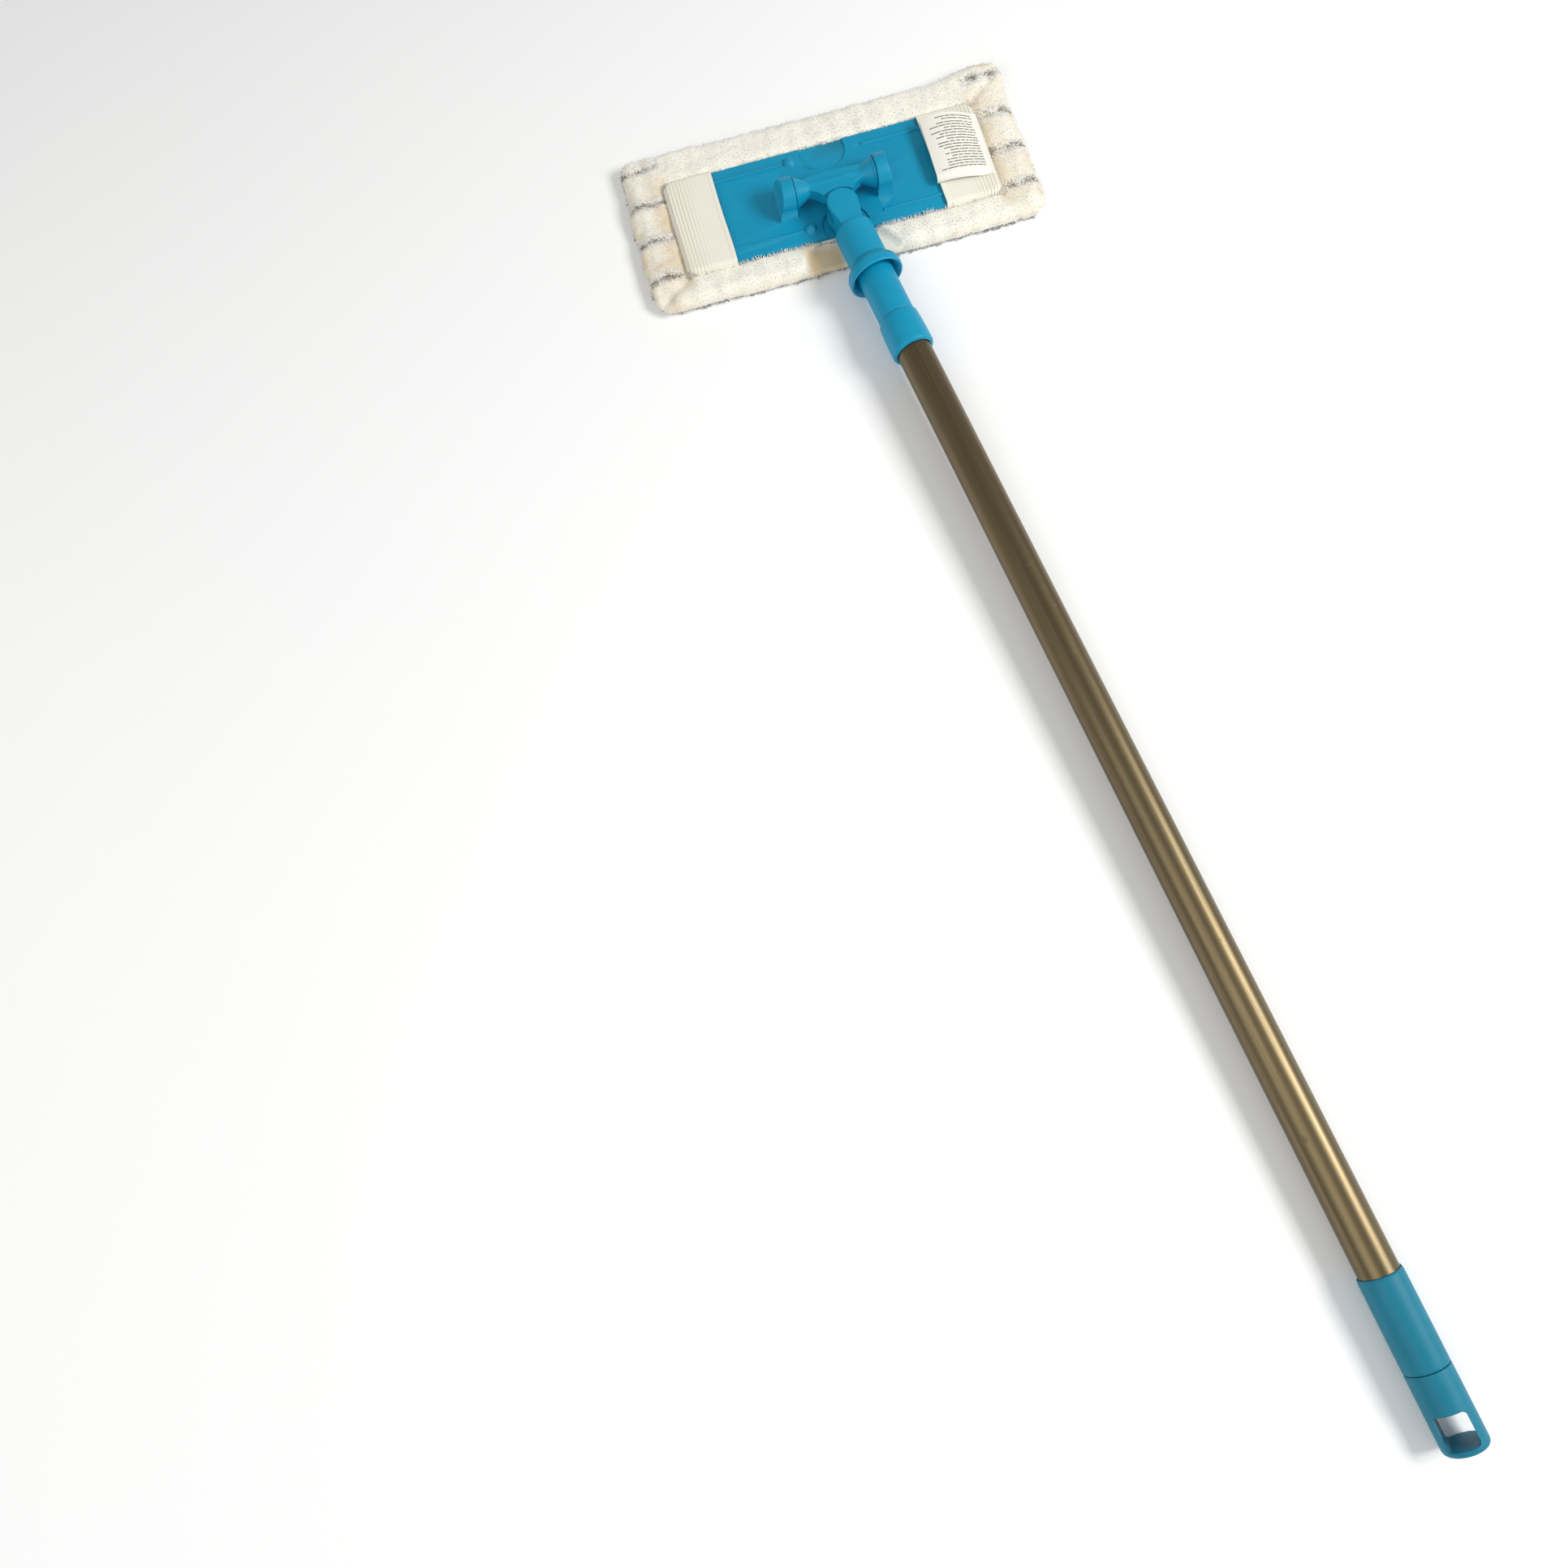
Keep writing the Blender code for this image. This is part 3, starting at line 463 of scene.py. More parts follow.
# ---------------------------------------------------------------- the pad
def rounded_outline(half_x, half_y, middle_y, corner, corner_steps=10, long_steps=60, short_steps=26):
    """A rounded rectangle with the same number of points whatever its size, anticlockwise."""
    points = []
    corners = ((1, 1), (-1, 1), (-1, -1), (1, -1))
    for number, (sx, sy) in enumerate(corners):
        centre = np.array((sx * (half_x - corner), middle_y + sy * (half_y - corner)))
        angles = math.pi / 2 * (number + np.linspace(0, 1, corner_steps + 1))
        bend = [centre + corner * np.array((math.cos(angle), math.sin(angle))) for angle in angles]
        points += bend
        nx, ny = corners[(number + 1) % 4]
        after = np.array((nx * (half_x - corner), middle_y + ny * (half_y - corner)))
        start = math.pi / 2 * (number + 1)
        far = after + corner * np.array((math.cos(start), math.sin(start)))
        steps = long_steps if number % 2 == 0 else short_steps
        for share in np.linspace(0, 1, steps + 1)[1:-1]:
            points.append(bend[-1] * (1 - share) + far * share)
    return np.array(points)


def pressed(points):
    """From 0 to 1, how much of the pile the socket's sweep over the near border presses down."""
    socket_half, spread = 11 * MM, 0.72     # the sweep is wider the farther it lies from the swivel
    reach = socket_half + spread * np.maximum(SWIVEL.y - points[:, 1], 0)
    near = smoothstep(SWIVEL.y - 4 * MM, SWIVEL.y - 9 * MM, points[:, 1])
    return near * (1 - smoothstep(reach, reach + 12 * MM, np.abs(points[:, 0])))


def stretched_corner(points):
    """From 0 to 1, how near a point is to the far right corner, which is pulled out and curls up."""
    return smoothstep(100 * MM, 148 * MM, points[:, 0]) * smoothstep(30 * MM, 66 * MM, points[:, 1])


def pile_limit(points):
    """The greatest height the pile may have at each point."""
    held = pressed(points)
    return PILE_TOP * (1 - held) + PRESSED_TOP * held + 5 * MM * stretched_corner(points)


def border_shape():
    """The pad's closed body: a slab turned up into a border around the window for the plate."""
    outer = rounded_outline(FACE_HIGH.x - 2.2 * MM, FACE_HIGH.y - 2.2 * MM, 0, 14 * MM)
    inner = rounded_outline(WINDOW_HALF.x, WINDOW_HALF.y, PLATE_Y, 4 * MM)
    # (share of the way from the outer outline to the window, height)
    section = ((1.0, FACE_BASE), (0.30, FACE_BASE), (0.10, 2.5 * MM), (0.015, 3.4 * MM), (-0.015, 5.4 * MM),
               (-0.015, 7.6 * MM), (0.02, 9.6 * MM), (0.09, HEM_CREST), (0.25, HEM_CREST + 0.4 * MM),
               (0.55, HEM_CREST), (0.80, HEM_CREST + 0.4 * MM), (0.93, HEM_LIP), (0.985, HEM_LIP),
               (1.0, 9.6 * MM), (1.0, LINING_LOW.z - 0.3 * MM))
    rings = [np.column_stack([outer * (1 - share) + inner * share, np.full(len(outer), height)])
             for share, height in section]
    points = np.vstack(rings)
    count = len(outer)
    faces = grid_faces(len(rings), count, wrap=True)
    faces.append(tuple(reversed(range(count))))
    faces.append(tuple(range((len(rings) - 1) * count, len(rings) * count)))
    return mesh_from("pad_body", points, faces)


def in_window(points, margin):
    return ((np.abs(points[:, 0]) < WINDOW_HALF.x + margin)
            & (np.abs(points[:, 1] - PLATE_Y) < WINDOW_HALF.y + margin))


def inflated(mesh):
    """The border filled out by a short cloth simulation, held where the plate and the floor are.

    No point may move farther than SWELL_MOST."""
    before = coordinates(mesh)
    held = in_window(before, 2 * MM) | (before[:, 2] < FACE_BASE + 0.4 * MM)
    holder = bpy.data.objects.new("inflating", mesh)
    bpy.context.scene.collection.objects.link(holder)
    group = holder.vertex_groups.new(name="held")
    group.add([int(index) for index in np.flatnonzero(held)], 1.0, "REPLACE")
    cloth = holder.modifiers.new("cloth", "CLOTH")
    cloth.settings.vertex_group_mass = "held"
    cloth.settings.use_pressure = True
    cloth.settings.uniform_pressure_force = 4
    cloth.settings.effector_weights.gravity = 0
    cloth.settings.quality = 4
    for number in range(1, SWELL_FRAMES + 1):
        bpy.context.scene.frame_set(number)
    after = coordinates(bpy.data.meshes.new_from_object(
        holder.evaluated_get(bpy.context.evaluated_depsgraph_get())))
    bpy.data.objects.remove(holder, do_unlink=True)
    bpy.context.scene.frame_set(1)
    move = after - before
    far = np.linalg.norm(move, axis=1, keepdims=True)
    set_coordinates(mesh, before + move * np.minimum(1, SWELL_MOST / np.maximum(far, 1e-9)))


def pad_body():
    """The plush pad in one closed body: swollen, lumpy, with its valleys, rows and stitched lines."""
    mesh = applied(border_shape(), ("REMESH", {"mode": "VOXEL", "voxel_size": 2.6 * MM}))
    inflated(mesh)
    mesh = applied(mesh, ("SUBSURF", {"levels": 1, "render_levels": 1}))
    points, normals = coordinates(mesh), vertex_normals(mesh)
    recess = in_window(points, 0.4 * MM) & (points[:, 2] > FACE_BASE + 1 * MM)
    corner = (smoothstep(110 * MM, 145 * MM, np.abs(points[:, 0]))
              * smoothstep(34 * MM, 62 * MM, np.abs(points[:, 1])))
    lumps = 0.8 * MM * waves(points, 17 * MM, 1) * (1 + 1.1 * corner)
    lumps = lumps + 0.2 * MM * waves(points, 7 * MM, 2)
    under = smoothstep(-0.2, -0.8, normals[:, 2])
    lumps *= (1 - 0.75 * under) * ~recess
    points += normals * lumps[:, None]
    # the border is four bands: a valley runs out from each corner, and the grey rows lie low on the ends
    over_x, over_y = from_pockets(points)
    upper = smoothstep(0.1, 0.6, normals[:, 2]) * ~recess
    valley = near_corner_line(over_x, over_y, 4.6 * MM) * (over_x > -1 * MM) * (over_y > -1 * MM)
    dips = sum(np.exp(-((points[:, 1] - centre) / (2.6 * MM)) ** 2) for centre in STRIPES)
    points[:, 2] -= upper * (1.7 * MM * valley + 1.0 * MM * dips * smoothstep(-1 * MM, 4 * MM, over_x))
    beside_pocket = (over_x > -2 * MM) * (1 - smoothstep(-2 * MM, 3 * MM, over_y))
    points[:, 2] -= upper * beside_pocket * 1.3 * MM * (1 - smoothstep(0, 6.5 * MM, over_x))
    # the edge wanders a little in plan
    share_out = np.maximum(np.abs(points[:, 0]) / FACE_HIGH.x, np.abs(points[:, 1]) / FACE_HIGH.y)
    rim = smoothstep(0.88, 1.0, share_out)
    drift = 1.1 * MM * waves(points * (1, 1, 0), 70 * MM, 3)
    outward = unit(normals * (1, 1, 0) + 1e-6)
    points += outward * (drift * rim)[:, None] * (np.abs(normals[:, 2]) < 0.9)[:, None]
    # the stitched lines across the wiping face
    seam = np.exp(-((np.abs(points[:, 0]) - END_SEAM) / (1.7 * MM)) ** 2) * under
    points[:, 2] += 1.5 * MM * seam
    # room for the pile above and below
    top = pile_limit(points) - 1.2 * MM
    upright = (normals[:, 2] > -0.3) & ~recess
    points[:, 2] = np.where(upright, np.minimum(points[:, 2], top), points[:, 2])
    points[:, 2] = np.maximum(points[:, 2], FACE_BASE - 0.6 * MM)
    # the stretched corner, pulled out first and then curled up
    points += stretched_corner(points)[:, None] * np.array((1.5, 4.0, 0)) * MM
    points[:, 2] += stretched_corner(points) * smoothstep(-0.2, 0.6, normals[:, 2]) * 4 * MM
    set_coordinates(mesh, points)
    mesh.shade_smooth()
    body = piece("pad_body", mesh, PLUSH_GROUND, "head")
    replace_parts(body, "pad_face", "pad_hem")
    return mesh


def scattered(mesh, keep, spacing):
    """Points at least spacing apart on the faces that keep picks, with the surface's normals."""
    mesh.calc_loop_triangles()
    triangles = np.empty(len(mesh.loop_triangles) * 3, np.int32)
    mesh.loop_triangles.foreach_get("vertices", triangles)
    triangles = triangles.reshape(-1, 3)
    points, normals = coordinates(mesh), vertex_normals(mesh)
    corners = points[triangles]
    facing = np.cross(corners[:, 1] - corners[:, 0], corners[:, 2] - corners[:, 0])
    area = np.linalg.norm(facing, axis=1) / 2
    area *= keep(corners.mean(1), unit(facing))
    tries = int(area.sum() / spacing ** 2 * TRIES_PER_SPOT)
    chosen = random.choice(len(triangles), tries, p=area / area.sum())
    first, second = random.random(tries), random.random(tries)
    over = first + second > 1
    first[over], second[over] = 1 - first[over], 1 - second[over]
    shares = np.column_stack([1 - first - second, first, second])[:, :, None]
    places = (corners[chosen] * shares).sum(1)
    directions = unit((normals[triangles[chosen]] * shares).sum(1))
    cells = {}
    kept = []
    keys = np.floor(places / spacing).astype(int)
    near = [(x, y, z) for x in (-1, 0, 1) for y in (-1, 0, 1) for z in (-1, 0, 1)]
    for index in range(tries):
        kx, ky, kz = keys[index]
        spot = places[index]
        if all(np.dot(spot - places[other], spot - places[other]) >= spacing ** 2
               for dx, dy, dz in near for other in cells.get((kx + dx, ky + dy, kz + dz), ())):
            cells.setdefault((kx, ky, kz), []).append(index)
            kept.append(index)
    return places[kept], directions[kept]


def tone_of(places, normals):
    """Which yarn each tuft is, as a number in TONES: white, yellower in a tan patch on the near border and at the
    rim, yellower as painted shade along the pockets' edges and the valleys from the window's corners, grey in the
    stripes."""
    count = len(places)
    over_x, over_y = from_pockets(places)
    tone = 0.8 + 0.7 * waves(places, 26 * MM, 11) + random.normal(0, 0.3, count)
    tan_patch_half = 13 * MM
    from_tan_patch = (((places[:, 0] - TAN_PATCH_X) / tan_patch_half) ** 4
                   + ((places[:, 1] - TAN_PATCH_Y) / tan_patch_half) ** 4)
    tone += 4.6 * np.exp(-from_tan_patch)
    edge = np.maximum(np.abs(places[:, 0]) - FACE_HIGH.x, np.abs(places[:, 1]) - FACE_HIGH.y)
    tone += 2.2 * smoothstep(-3 * MM, 1 * MM, edge) * (0.7 + 0.5 * waves(places, 15 * MM, 12))
    # painted shade: tan along the pockets' edges, stronger on the near side
    strength = np.where(places[:, 1] < PLATE_Y, 3.6, 2.0)
    pocket_edge_shade = (np.abs(places[:, 0]) > 80 * MM) * (normals[:, 2] > 0) * strength
    tone += pocket_edge_shade * (1 - smoothstep(0.5 * MM, 5 * MM, np.maximum(over_x, over_y)))
    # painted shade: tan in the valleys that run out from the window's corners
    tone += 1.2 * near_corner_line(over_x, over_y, 3.5 * MM) * (normals[:, 2] > 0.2)
    tone = np.clip(np.rint(tone), 0, LAST_TAN)
    ends = over_x > -2 * MM
    striped = (normals[:, 2] < 0.2) | ends
    wander = (places[:, 1] + 1.5 * MM * waves(places * (1, 0, 0), 26 * MM, 13)
              + 0.7 * MM * waves(places, 7 * MM, 15))
    fade = waves(places, 11 * MM, 14)
    half = STRIPE_HALF * np.where(ends, 1.7 + 1.1 * fade, 1.0 + 0.25 * fade)
    for centre in STRIPES:
        depth = 1 - np.abs(wander - centre) / half
        patchy = random.random(count) < np.where(ends, 0.78 + 0.6 * fade, 0.9)
        grey = (depth > 0) & patchy & striped & (edge < -3 * MM)
        shade = FIRST_GREY + np.rint(np.clip(depth * 2.2 + random.normal(0, 0.35, count), 0, 2))
        tone = np.where(grey, shade, tone)
    return tone.astype(int)


def tufts(name, places, normals, headings, lengths, radius, ceiling):
    """Short tufts of yarn, three-sided and bent, each ending in a point above its last ring.

    What rises above the ceiling is folded back, and what nears the floor is bent up.  The shading
    follows the ground a tuft stands on, turned upwards except on the pad's underside, so that the pile
    looks soft and not spiky."""
    count = len(places)
    side = unit(np.cross(headings, normals + 0.37 * random.normal(size=(count, 3))))
    other = unit(np.cross(headings, side))
    bend = side * random.normal(0, 0.22, (count, 1)) + other * random.normal(0, 0.22, (count, 1))
    levels = ((-0.1, 0.9), (0.5, 1.12), (0.88, 0.85))    # (share of the length, share of the radius)
    stations = [places + headings * (lengths * share)[:, None]
                + bend * (lengths * max(share, 0) ** 2)[:, None] for share, _ in levels]
    tip = places + headings * lengths[:, None] + bend * lengths[:, None]
    rings = []
    spin = random.uniform(0, math.tau, count)
    for station, (_, width) in zip(stations, levels):
        for corner in range(3):
            angle = spin + corner * math.tau / 3
            offset = side * np.cos(angle)[:, None] + other * np.sin(angle)[:, None]
            rings.append(station + offset * (radius * width)[:, None])
    points = np.stack([*rings, tip], axis=1)
    flat = points.reshape(-1, 3)
    top = np.repeat(ceiling, points.shape[1])
    flat[:, 2] = np.where(flat[:, 2] > top, top - 0.15 * (flat[:, 2] - top), flat[:, 2])
    bent_up = NEAR_FLOOR * np.exp(np.minimum(flat[:, 2] - NEAR_FLOOR, 0) / NEAR_FLOOR)
    flat[:, 2] = np.where(flat[:, 2] < NEAR_FLOOR, bent_up, flat[:, 2])
    pattern = [(2, 1, 0)]                   # one tuft's faces: its foot, two rows of sides, its tip
    for level in (0, 3):
        for corner in range(3):
            after = (corner + 1) % 3
            pattern.append((level + corner, level + after, level + 3 + after, level + 3 + corner))
    for corner in range(3):
        pattern.append((6 + corner, 6 + (corner + 1) % 3, 9))
    step = points.shape[1]
    faces = [tuple(base + index for index in face)
             for base in range(0, count * step, step) for face in pattern]
    mesh = mesh_from(name, flat, faces)
    piece(name, mesh, TONES, "head")
    raised = normals.copy()
    around = normals[:, 2] > -0.2
    raised[around, 2] = np.maximum(raised[around, 2], 0) + 0.5
    raised = unit(raised)
    soft = unit(vertex_normals(mesh) * 0.2 + np.repeat(raised, step, axis=0))
    mesh.normals_split_custom_set_from_vertices([tuple(vector) for vector in soft])
    tones = np.repeat(tone_of(places, normals), len(pattern))
    mesh.polygons.foreach_set("material_index", tones.astype(np.int32))


def combed(places, normals, length, seeds, stiffness, loose):
    """Headings of the pile: away from the ground, combed about in patches, and a little at random."""
    comb = np.column_stack([waves(places, length, seed) for seed in seeds])
    return normals * stiffness + comb * (1 - stiffness) + random.normal(0, loose, places.shape)


def pile(mesh):
    """The plush's pile: over the border, thicker on the grey rows, as a fringe over the plate, around
    the rim, and on the wiping face."""
    def outside(centres):
        return ~(in_window(centres, 0.1 * MM) & (centres[:, 2] > FACE_BASE + 1 * MM))

    def at_lip(centres, directions):
        by_edge = np.abs(np.maximum(*from_pockets(centres))) < 2.2 * MM
        return outside(centres) & (directions[:, 2] > -0.2) & by_edge

    def at_rim(centres, directions):
        return outside(centres) & (directions[:, 2] > -0.1) & (directions[:, 2] <= 0.3)

    def on_face(centres, directions):
        return directions[:, 2] < -0.93

    def in_stripes(centres):
        near = np.abs(centres[:, 1:2] - np.array([STRIPES])).min(1) < 5 * MM
        return near & (np.abs(centres[:, 0]) > WINDOW_HALF.x - 2 * MM)

    def on_border(centres, directions):
        return outside(centres) & (directions[:, 2] > 0.3)

    sparse = scattered(mesh, on_border, 2.3 * MM)
    dense = scattered(mesh, lambda c, n: on_border(c, n) & in_stripes(c), 0.95 * MM)
    top, normals = (np.vstack(pair) for pair in zip(sparse, dense))
    thick = np.where(np.arange(len(top)) < len(sparse[0]), 0.28, 0.46) * MM
    held = pressed(top)
    past_end = from_pockets(top)[0]
    low = (1 - smoothstep(1 * MM, 6 * MM, past_end)) * (np.abs(top[:, 0]) > WINDOW_HALF.x)
    headings = combed(top, normals, 11 * MM, (21, 22, 23), 0.7, 0.4)
    headings += np.column_stack([np.sign(top[:, 0]) * held, -0.6 * held, np.zeros(len(top))])
    lengths = 1.1 * MM * (1 + 0.2 * waves(top, 8 * MM, 24)) * random.uniform(0.8, 1.2, len(top))
    tufts("pile_border", top, normals, unit(headings), lengths * (1 - 0.25 * held) * (1 - 0.3 * low),
          thick * random.uniform(0.8, 1.2, len(top)), pile_limit(top))

    lip, normals = scattered(mesh, at_lip, 0.8 * MM)
    held = pressed(lip)
    at_end = np.abs(lip[:, 0]) > WINDOW_HALF.x
    inward = np.column_stack([np.where(at_end, -np.sign(lip[:, 0]), 0),
                              np.where(at_end, 0, np.sign(PLATE_Y - lip[:, 1])), np.zeros(len(lip))])
    headings = combed(lip, normals, 7 * MM, (25, 26, 27), 0.6, 0.3) + inward * (0.8 * (1 - held))[:, None]
    lengths = np.where(at_end, 3.0, 3.5) * MM * random.uniform(0.7, 1.15, len(lip)) * (1 - 0.3 * held)
    tufts("pile_fringe", lip, normals, unit(headings), lengths,
          0.3 * MM * random.uniform(0.8, 1.2, len(lip)), pile_limit(lip))

    rim, normals = scattered(mesh, at_rim, 1.8 * MM)
    headings = combed(rim, normals, 9 * MM, (31, 32, 33), 0.7, 0.24) - np.array((0, 0, 0.08))
    lengths = 1.9 * MM * (1 + 0.25 * waves(rim, 8 * MM, 34)) * random.uniform(0.75, 1.15, len(rim))
    tufts("pile_rim", rim, normals, unit(headings), lengths,
          0.28 * MM * random.uniform(0.8, 1.15, len(rim)), pile_limit(rim))

    face, normals = scattered(mesh, on_face, 1.4 * MM)
    kept = np.abs(np.abs(face[:, 0]) - END_SEAM) > SEAM_HALF
    face, normals = face[kept], normals[kept]
    headings = combed(face, normals, 16 * MM, (41, 42, 43), 0.5, 0.25)
    lengths = 3.2 * MM * random.uniform(0.8, 1.2, len(face))
    tufts("pile_face", face, normals, unit(headings), lengths,
          0.72 * MM * random.uniform(0.85, 1.15, len(face)), np.full(len(face), PILE_TOP))


def layers():
    """The foam-backed lining and the woven backing, between the plush and the plate."""
    for name, low, high in (("pad_lining", LINING_LOW, LINING_HIGH),
                            ("pad_backing", BACKING_LOW, BACKING_HIGH)):
        outline = rounded_outline((high.x - low.x) / 2, (high.y - low.y) / 2, PLATE_Y, 4 * MM)
        shares = np.linspace(1, 0.02, 14)
        centre = np.array((0, PLATE_Y))
        rings = [np.column_stack([centre + (outline - centre) * share, np.full(len(outline), high.z)])
                 for share in shares]
        points = np.vstack(rings)
        unevenness = 0.05 * MM
        points[:, 2] += unevenness * waves(points, 9 * MM, 51) - unevenness
        count = len(outline)
        faces = grid_faces(len(rings), count, wrap=True)
        faces.append(tuple(range((len(rings) - 1) * count, len(rings) * count)))
        mesh = applied(mesh_from(name, points, faces),
                       ("SOLIDIFY", {"thickness": (high.z - low.z) - 0.15 * MM, "offset": -1}))
        mesh.shade_smooth()
        made = piece(name + "_cloth", mesh, BACKING, "head")
        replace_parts(made, name)


# ---------------------------------------------------------------- the pockets
def turned_down(run, reach, end, half, corner, bend, steepest):
    """Where a flat point goes on cloth that turns down around a plate's end and sides.

    run is from the opening towards the end, reach from the middle line.  Returns both again, and how
    far down the point lies."""
    over = np.stack([run - (end - corner), np.abs(reach) - (half - corner)], axis=-1)
    outside = np.maximum(over, 0)
    both = np.linalg.norm(outside, axis=-1)
    past = np.where(both > 0, both, over.max(-1)) - corner + bend
    heading = np.where(both[..., None] > 1e-9, outside / np.maximum(both, 1e-9)[..., None], 0)
    past = np.maximum(past, 0)
    angle = np.minimum(past / bend, steepest)
    rest = np.maximum(past - bend * steepest, 0)
    out = bend * np.sin(angle) + rest * math.cos(steepest)
    down = bend * (1 - np.cos(angle)) + rest * math.sin(steepest)
    new_run = run + heading[..., 0] * (out - past)
    new_reach = reach + np.sign(reach) * heading[..., 1] * (out - past)
    return new_run, new_reach, down


def pocket(name):
    """Ribbed elastic webbing stretched over one end of the plate."""
    low, high = POCKETS[name]
    side = -1 if name == "pocket_left" else 1
    opening = high.x if side < 0 else low.x
    along = abs(PLATE_HALF.x * side - opening) + 4.0 * MM
    half = PLATE_HALF.y + 1.6 * MM
    end_drop, side_drop = 4.4 * MM, 4.6 * MM
    run = np.linspace(0, along + end_drop, int((along + end_drop) / RIB_PITCH * 8))
    reach = np.linspace(-(half + side_drop), half + side_drop, 110)
    run, reach = np.meshgrid(run, reach)
    corner, bend, steepest = 8 * MM, 4 * MM, math.radians(74)
    new_run, new_reach, down = turned_down(run, reach, along, half, corner, bend, steepest)
    spots = np.stack([opening + side * new_run, PLATE_Y + new_reach, np.zeros_like(run)], axis=-1)
    spots = spots.reshape(-1, 3)
    ribs = np.cos(math.tau * (opening + side * run) / RIB_PITCH)
    slack = 0.25 + 0.75 * smoothstep(RIBS_START, RIBS_FULL, np.abs(opening + side * run))
    hem = 0.3 * MM * (1 - smoothstep(2.6 * MM, 3.6 * MM, run))
    z = CLOTH_TOP - down + 0.1 * MM * ribs * slack + hem
    z += 0.3 * MM * waves(spots, 26 * MM, 62).reshape(z.shape) * smoothstep(0, 8 * MM, half - np.abs(reach))
    spots[:, 0] += 0.7 * MM * side * waves(spots * (0, 1, 0), 60 * MM, 63)
    spots[:, 2] = z.ravel()
    faces = grid_faces(*run.shape)
    if side < 0:
        faces = [tuple(reversed(face)) for face in faces]
    mesh = applied(mesh_from(name, spots, faces), ("SOLIDIFY", {"thickness": WEBBING, "offset": -1}))
    mesh.shade_smooth()
    mesh.set_sharp_from_angle(angle=math.radians(60))
    made = piece(name + "_webbing", mesh, ELASTIC, "head")
    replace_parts(made, name)


# ---------------------------------------------------------------- the care label
LABEL_WIDTH = LABEL_HIGH.x - LABEL_LOW.x + 2.5 * MM
LABEL_LENGTH = 56 * MM
LABEL_TURN = math.radians(-1.5)
LABEL_RISE = 9.6 * MM                    # it is sewn down at its right edge and springs up from there
CURL_LENGTH = 7 * MM


def label_point(across, along):
    """A point of the ribbon: across goes from its free left edge to its sewn right one, and along from
    its far end to the near one, which curls over."""
    flat = LABEL_LENGTH - CURL_LENGTH
    run = along * LABEL_LENGTH
    turn = math.radians(112 - 70 * across)
    radius = CURL_LENGTH / turn
    past = max(run - flat, 0) / radius
    forward = min(run, flat) + radius * math.sin(past)
    drop = radius * (1 - math.cos(past))
    # highest a third of the way across, and down to the pocket at the sewn edge
    bow = math.sin(math.pi * (0.26 + 0.74 * min(across / 0.97, 1)))
    rise = LABEL_RISE * bow * (0.86 + 0.14 * math.cos(3 * along))
    rise += 0.35 * MM * math.sin(5.0 * along + 1.5 * across) * math.sin(math.pi * across)
    middle = Vector(((LABEL_LOW.x + LABEL_HIGH.x) / 2 + 1 * MM, (LABEL_LOW.y + LABEL_HIGH.y) / 2))
    local = Vector((across * LABEL_WIDTH - LABEL_WIDTH / 2, (flat + 4 * MM) / 2 - forward))
    local.rotate(Matrix.Rotation(LABEL_TURN, 2))
    height = LABEL_LOW.z + 0.35 * MM + max(rise - drop, 0.1 * MM * (1 - drop / radius))
    return Vector((middle.x + local.x, middle.y + local.y, height))


def care_label():
    rows, columns = 64, 46
    points = [label_point(column / (columns - 1), row / (rows - 1)) for row in range(rows)
              for column in range(columns)]
    faces = [tuple(reversed(face)) for face in grid_faces(rows, columns)]
    mesh = applied(mesh_from("care_label", points, faces),
                   ("SOLIDIFY", {"thickness": 0.22 * MM, "offset": 0}))
    mesh.shade_smooth()
    mesh.set_sharp_from_angle(angle=math.radians(60))
    ribbon = piece("care_label_ribbon", mesh, LABEL, "head")
    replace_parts(ribbon, "care_label")


def label_print():
    """Plain grey dashes in ragged rows: they stand for print and spell nothing."""
    points, faces = [], []
    draw = np.random.default_rng(5)
    lift = Vector((0, 0, 0.17 * MM))
    # shares of the label's length; a small gap follows the second row
    first_row, row_pitch, row_count, dash_height, row_gap = 0.055, 0.043, 19, 0.013, 0.012
    steps = 7                               # pieces of a dash, so that it bends with the label
    for row in range(row_count):
        along = first_row + row * row_pitch + (row_gap if row > 1 else 0)
        across = draw.choice((0.11, 0.17, 0.24, 0.34))
        while across < 0.86:
            length = min(draw.uniform(0.04, 0.19), 0.88 - across)
            start = len(points)
            for step in range(steps + 1):
                share = across + length * step / steps
                points.append(label_point(share, along) + lift)
                points.append(label_point(share, along + dash_height) + lift)
            for step in range(steps):
                corner = start + 2 * step
                faces.append((corner, corner + 1, corner + 3, corner + 2))
            across += length + draw.uniform(0.012, 0.022)
    mesh = applied(mesh_from("label_print", points, faces),
                   ("SOLIDIFY", {"thickness": 0.05 * MM, "offset": 0}))
    piece("label_print", mesh, PRINT, "head")


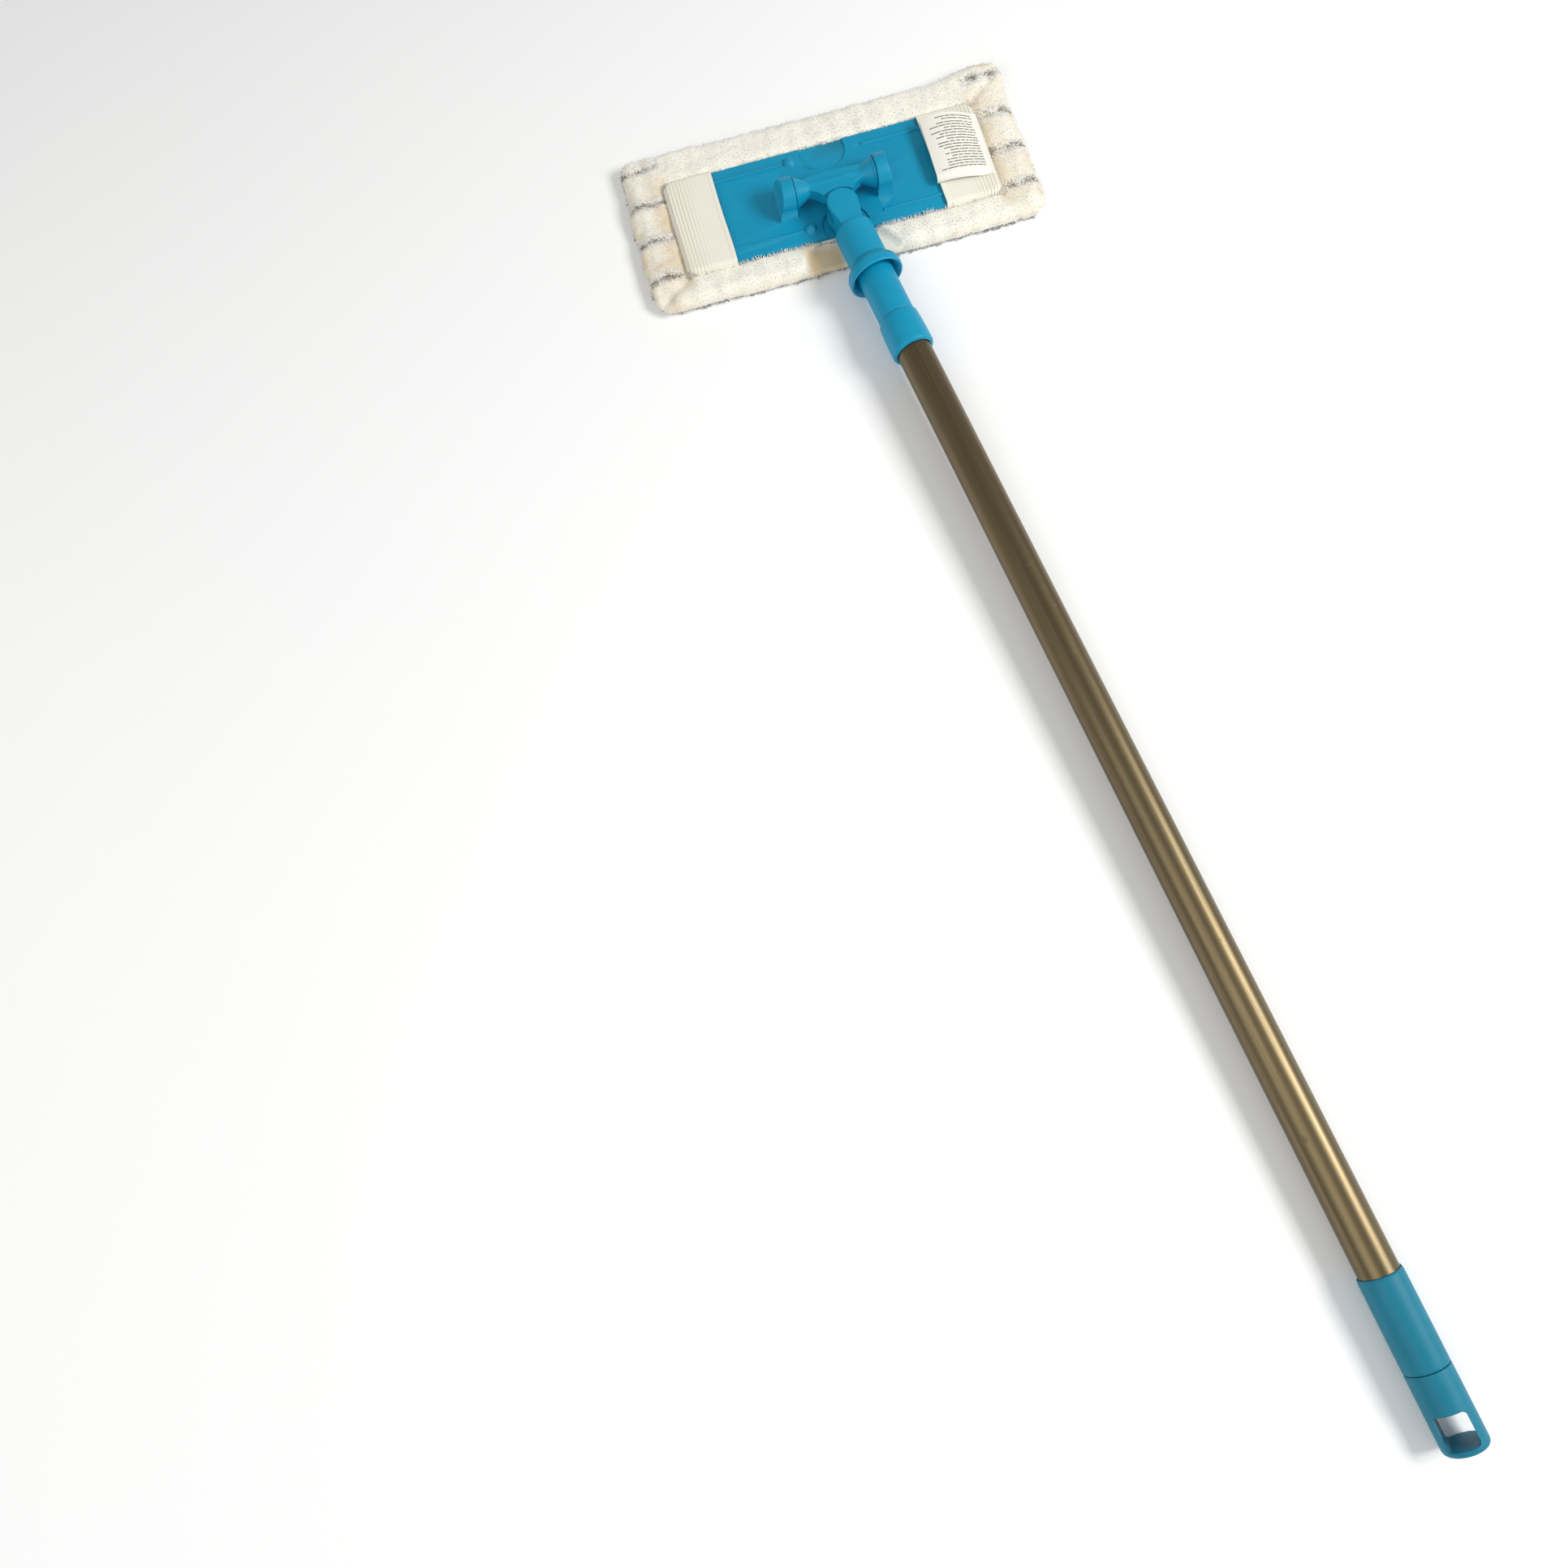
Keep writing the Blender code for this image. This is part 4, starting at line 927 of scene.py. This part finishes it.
# ---------------------------------------------------------------- stitching
def stitches():
    """A row of stitches in each groove of the wiping face: ellipsoids bent to the cloth."""
    pitch, length, radius = 4.2 * MM, 3.0 * MM, 0.3 * MM
    sag, lift = 0.35 * MM, 0.2 * MM
    around, rings = 10, 7
    one = [(0, 0, 1)]
    for slope in np.linspace(0, math.pi, rings + 2)[1:-1]:
        for turn in np.linspace(0, math.tau, around, endpoint=False):
            flat = math.sin(slope)
            one.append((flat * math.sin(turn), flat * math.cos(turn), math.cos(slope)))
    one = np.array([*one, (0, 0, -1)]) * (radius, length / 2, radius)
    one[:, 2] -= sag * (one[:, 1] / (length / 2)) ** 2 - lift
    last = len(one) - 1
    pattern = [tuple(1 + index for index in face[1:] + face[:1])
               for face in grid_faces(rings, around, wrap=True)]
    for corner in range(around):
        after = (corner + 1) % around
        pattern += [(0, 1 + after, 1 + corner), (last, last - around + corner, last - around + after)]
    points, faces = [], []
    for side in (-1, 1):
        y = -FACE_HIGH.y + 9 * MM
        while y < FACE_HIGH.y - 9 * MM:
            faces += [tuple(len(points) + index for index in face) for face in pattern]
            points += list(one + (side * END_SEAM, y, FACE_BASE + 0.9 * MM))
            y += pitch
    piece("end_stitches", mesh_from("end_stitches", points, faces), THREAD, "head")


# ---------------------------------------------------------------- stage
def floor():
    half, top = 6, -0.3 * MM
    corners = [(-half, -half, top), (half, -half, top), (half, half, top), (-half, half, top)]
    mesh = mesh_from("floor", corners, [(0, 1, 2, 3)], smooth=False)
    made = bpy.data.objects.new("floor", mesh)
    bpy.context.scene.collection.objects.link(made)
    look = Look("floor", Roughness=0.9, Specular_IOR_Level=0.1)
    look.set("Base Color", look.mixed(look.noise(3, 2), colour(249, 251, 253), colour(252, 253, 254)))
    mesh.materials.append(look.material)


def area_light(name, place, aim, width, length, power, tint, along=(0, 1, 0)):
    """A rectangle of light facing aim, its length lying along a direction."""
    light = bpy.data.lights.new(name, "AREA")
    light.shape = "RECTANGLE"
    light.size = width
    light.size_y = length
    light.energy = power
    light.color = tint
    made = bpy.data.objects.new(name, light)
    bpy.context.scene.collection.objects.link(made)
    place, aim, along = Vector(place), Vector(aim), Vector(along)
    forward = (aim - place).normalized()
    up = (along - along.dot(forward) * forward).normalized()
    made.matrix_world = Matrix((up.cross(-forward), up, -forward)).transposed().to_4x4()
    made.matrix_world.translation = place


def beside_handle(along, sideways, up):
    """A place given from the swivel: along the handle, to its +X side, and up."""
    side = HANDLE_AXIS.cross(Vector((0, 0, 1))).normalized()
    side = side if side.x > 0 else -side
    return SWIVEL + HANDLE_AXIS * along + side * sideways + Vector((0, 0, up))


def lights():
    world = bpy.data.worlds.new("studio")
    world.use_nodes = True
    background = world.node_tree.nodes["Background"].inputs
    background["Color"].default_value = (1, 0.996, 0.985, 1)
    background["Strength"].default_value = 0.42
    bpy.context.scene.world = world
    area_light("window", (1.2, -0.72, 1.25), (0.0, -0.40, 0), width=0.6, length=0.9, power=25,
               tint=(1, 0.985, 0.96))
    area_light("fill", (-1.3, -1.2, 1.6), (0, -0.4, 0), width=1.6, length=1.6, power=14,
               tint=(1, 0.99, 0.97))
    # a bent line of light that runs along the tube as its bright streak
    bends = [beside_handle(-0.36, -1.18, 0.21), beside_handle(0.35, -0.94, 0.75),
             beside_handle(1.05, 0.10, 1.20)]
    for number, (start, end) in enumerate(zip(bends, bends[1:])):
        area_light(f"streak_{number}", (start + end) / 2, beside_handle(0.45, 0, 0), width=0.08,
                   length=(end - start).length, power=0.28, tint=(1, 0.9, 0.75), along=end - start)


def camera():
    """The camera, with the place, aim and roll that fit the photograph."""
    place = Vector((-0.1754, -0.6524, 0.7954))
    aim = Vector((-0.1573, -0.4386, 0))
    roll = math.radians(10.93)
    view = bpy.data.cameras.new("camera")
    view.lens = 28.3
    view.sensor_width = 36
    view.clip_start = 0.01
    made = bpy.data.objects.new("camera", view)
    bpy.context.scene.collection.objects.link(made)
    forward = (aim - place).normalized()
    level_up = (Vector((0, 0, 1)) - forward.z * forward).normalized()
    up = Quaternion(forward, roll) @ level_up
    made.matrix_world = Matrix((forward.cross(up), up, -forward)).transposed().to_4x4()
    made.matrix_world.translation = place
    bpy.context.scene.camera = made


rigid_parts()
pile(pad_body())
layers()
for pocket_name in POCKETS:
    pocket(pocket_name)
care_label()
label_print()
stitches()
floor()
lights()
camera()
bpy.context.scene.view_settings.view_transform = "Standard"
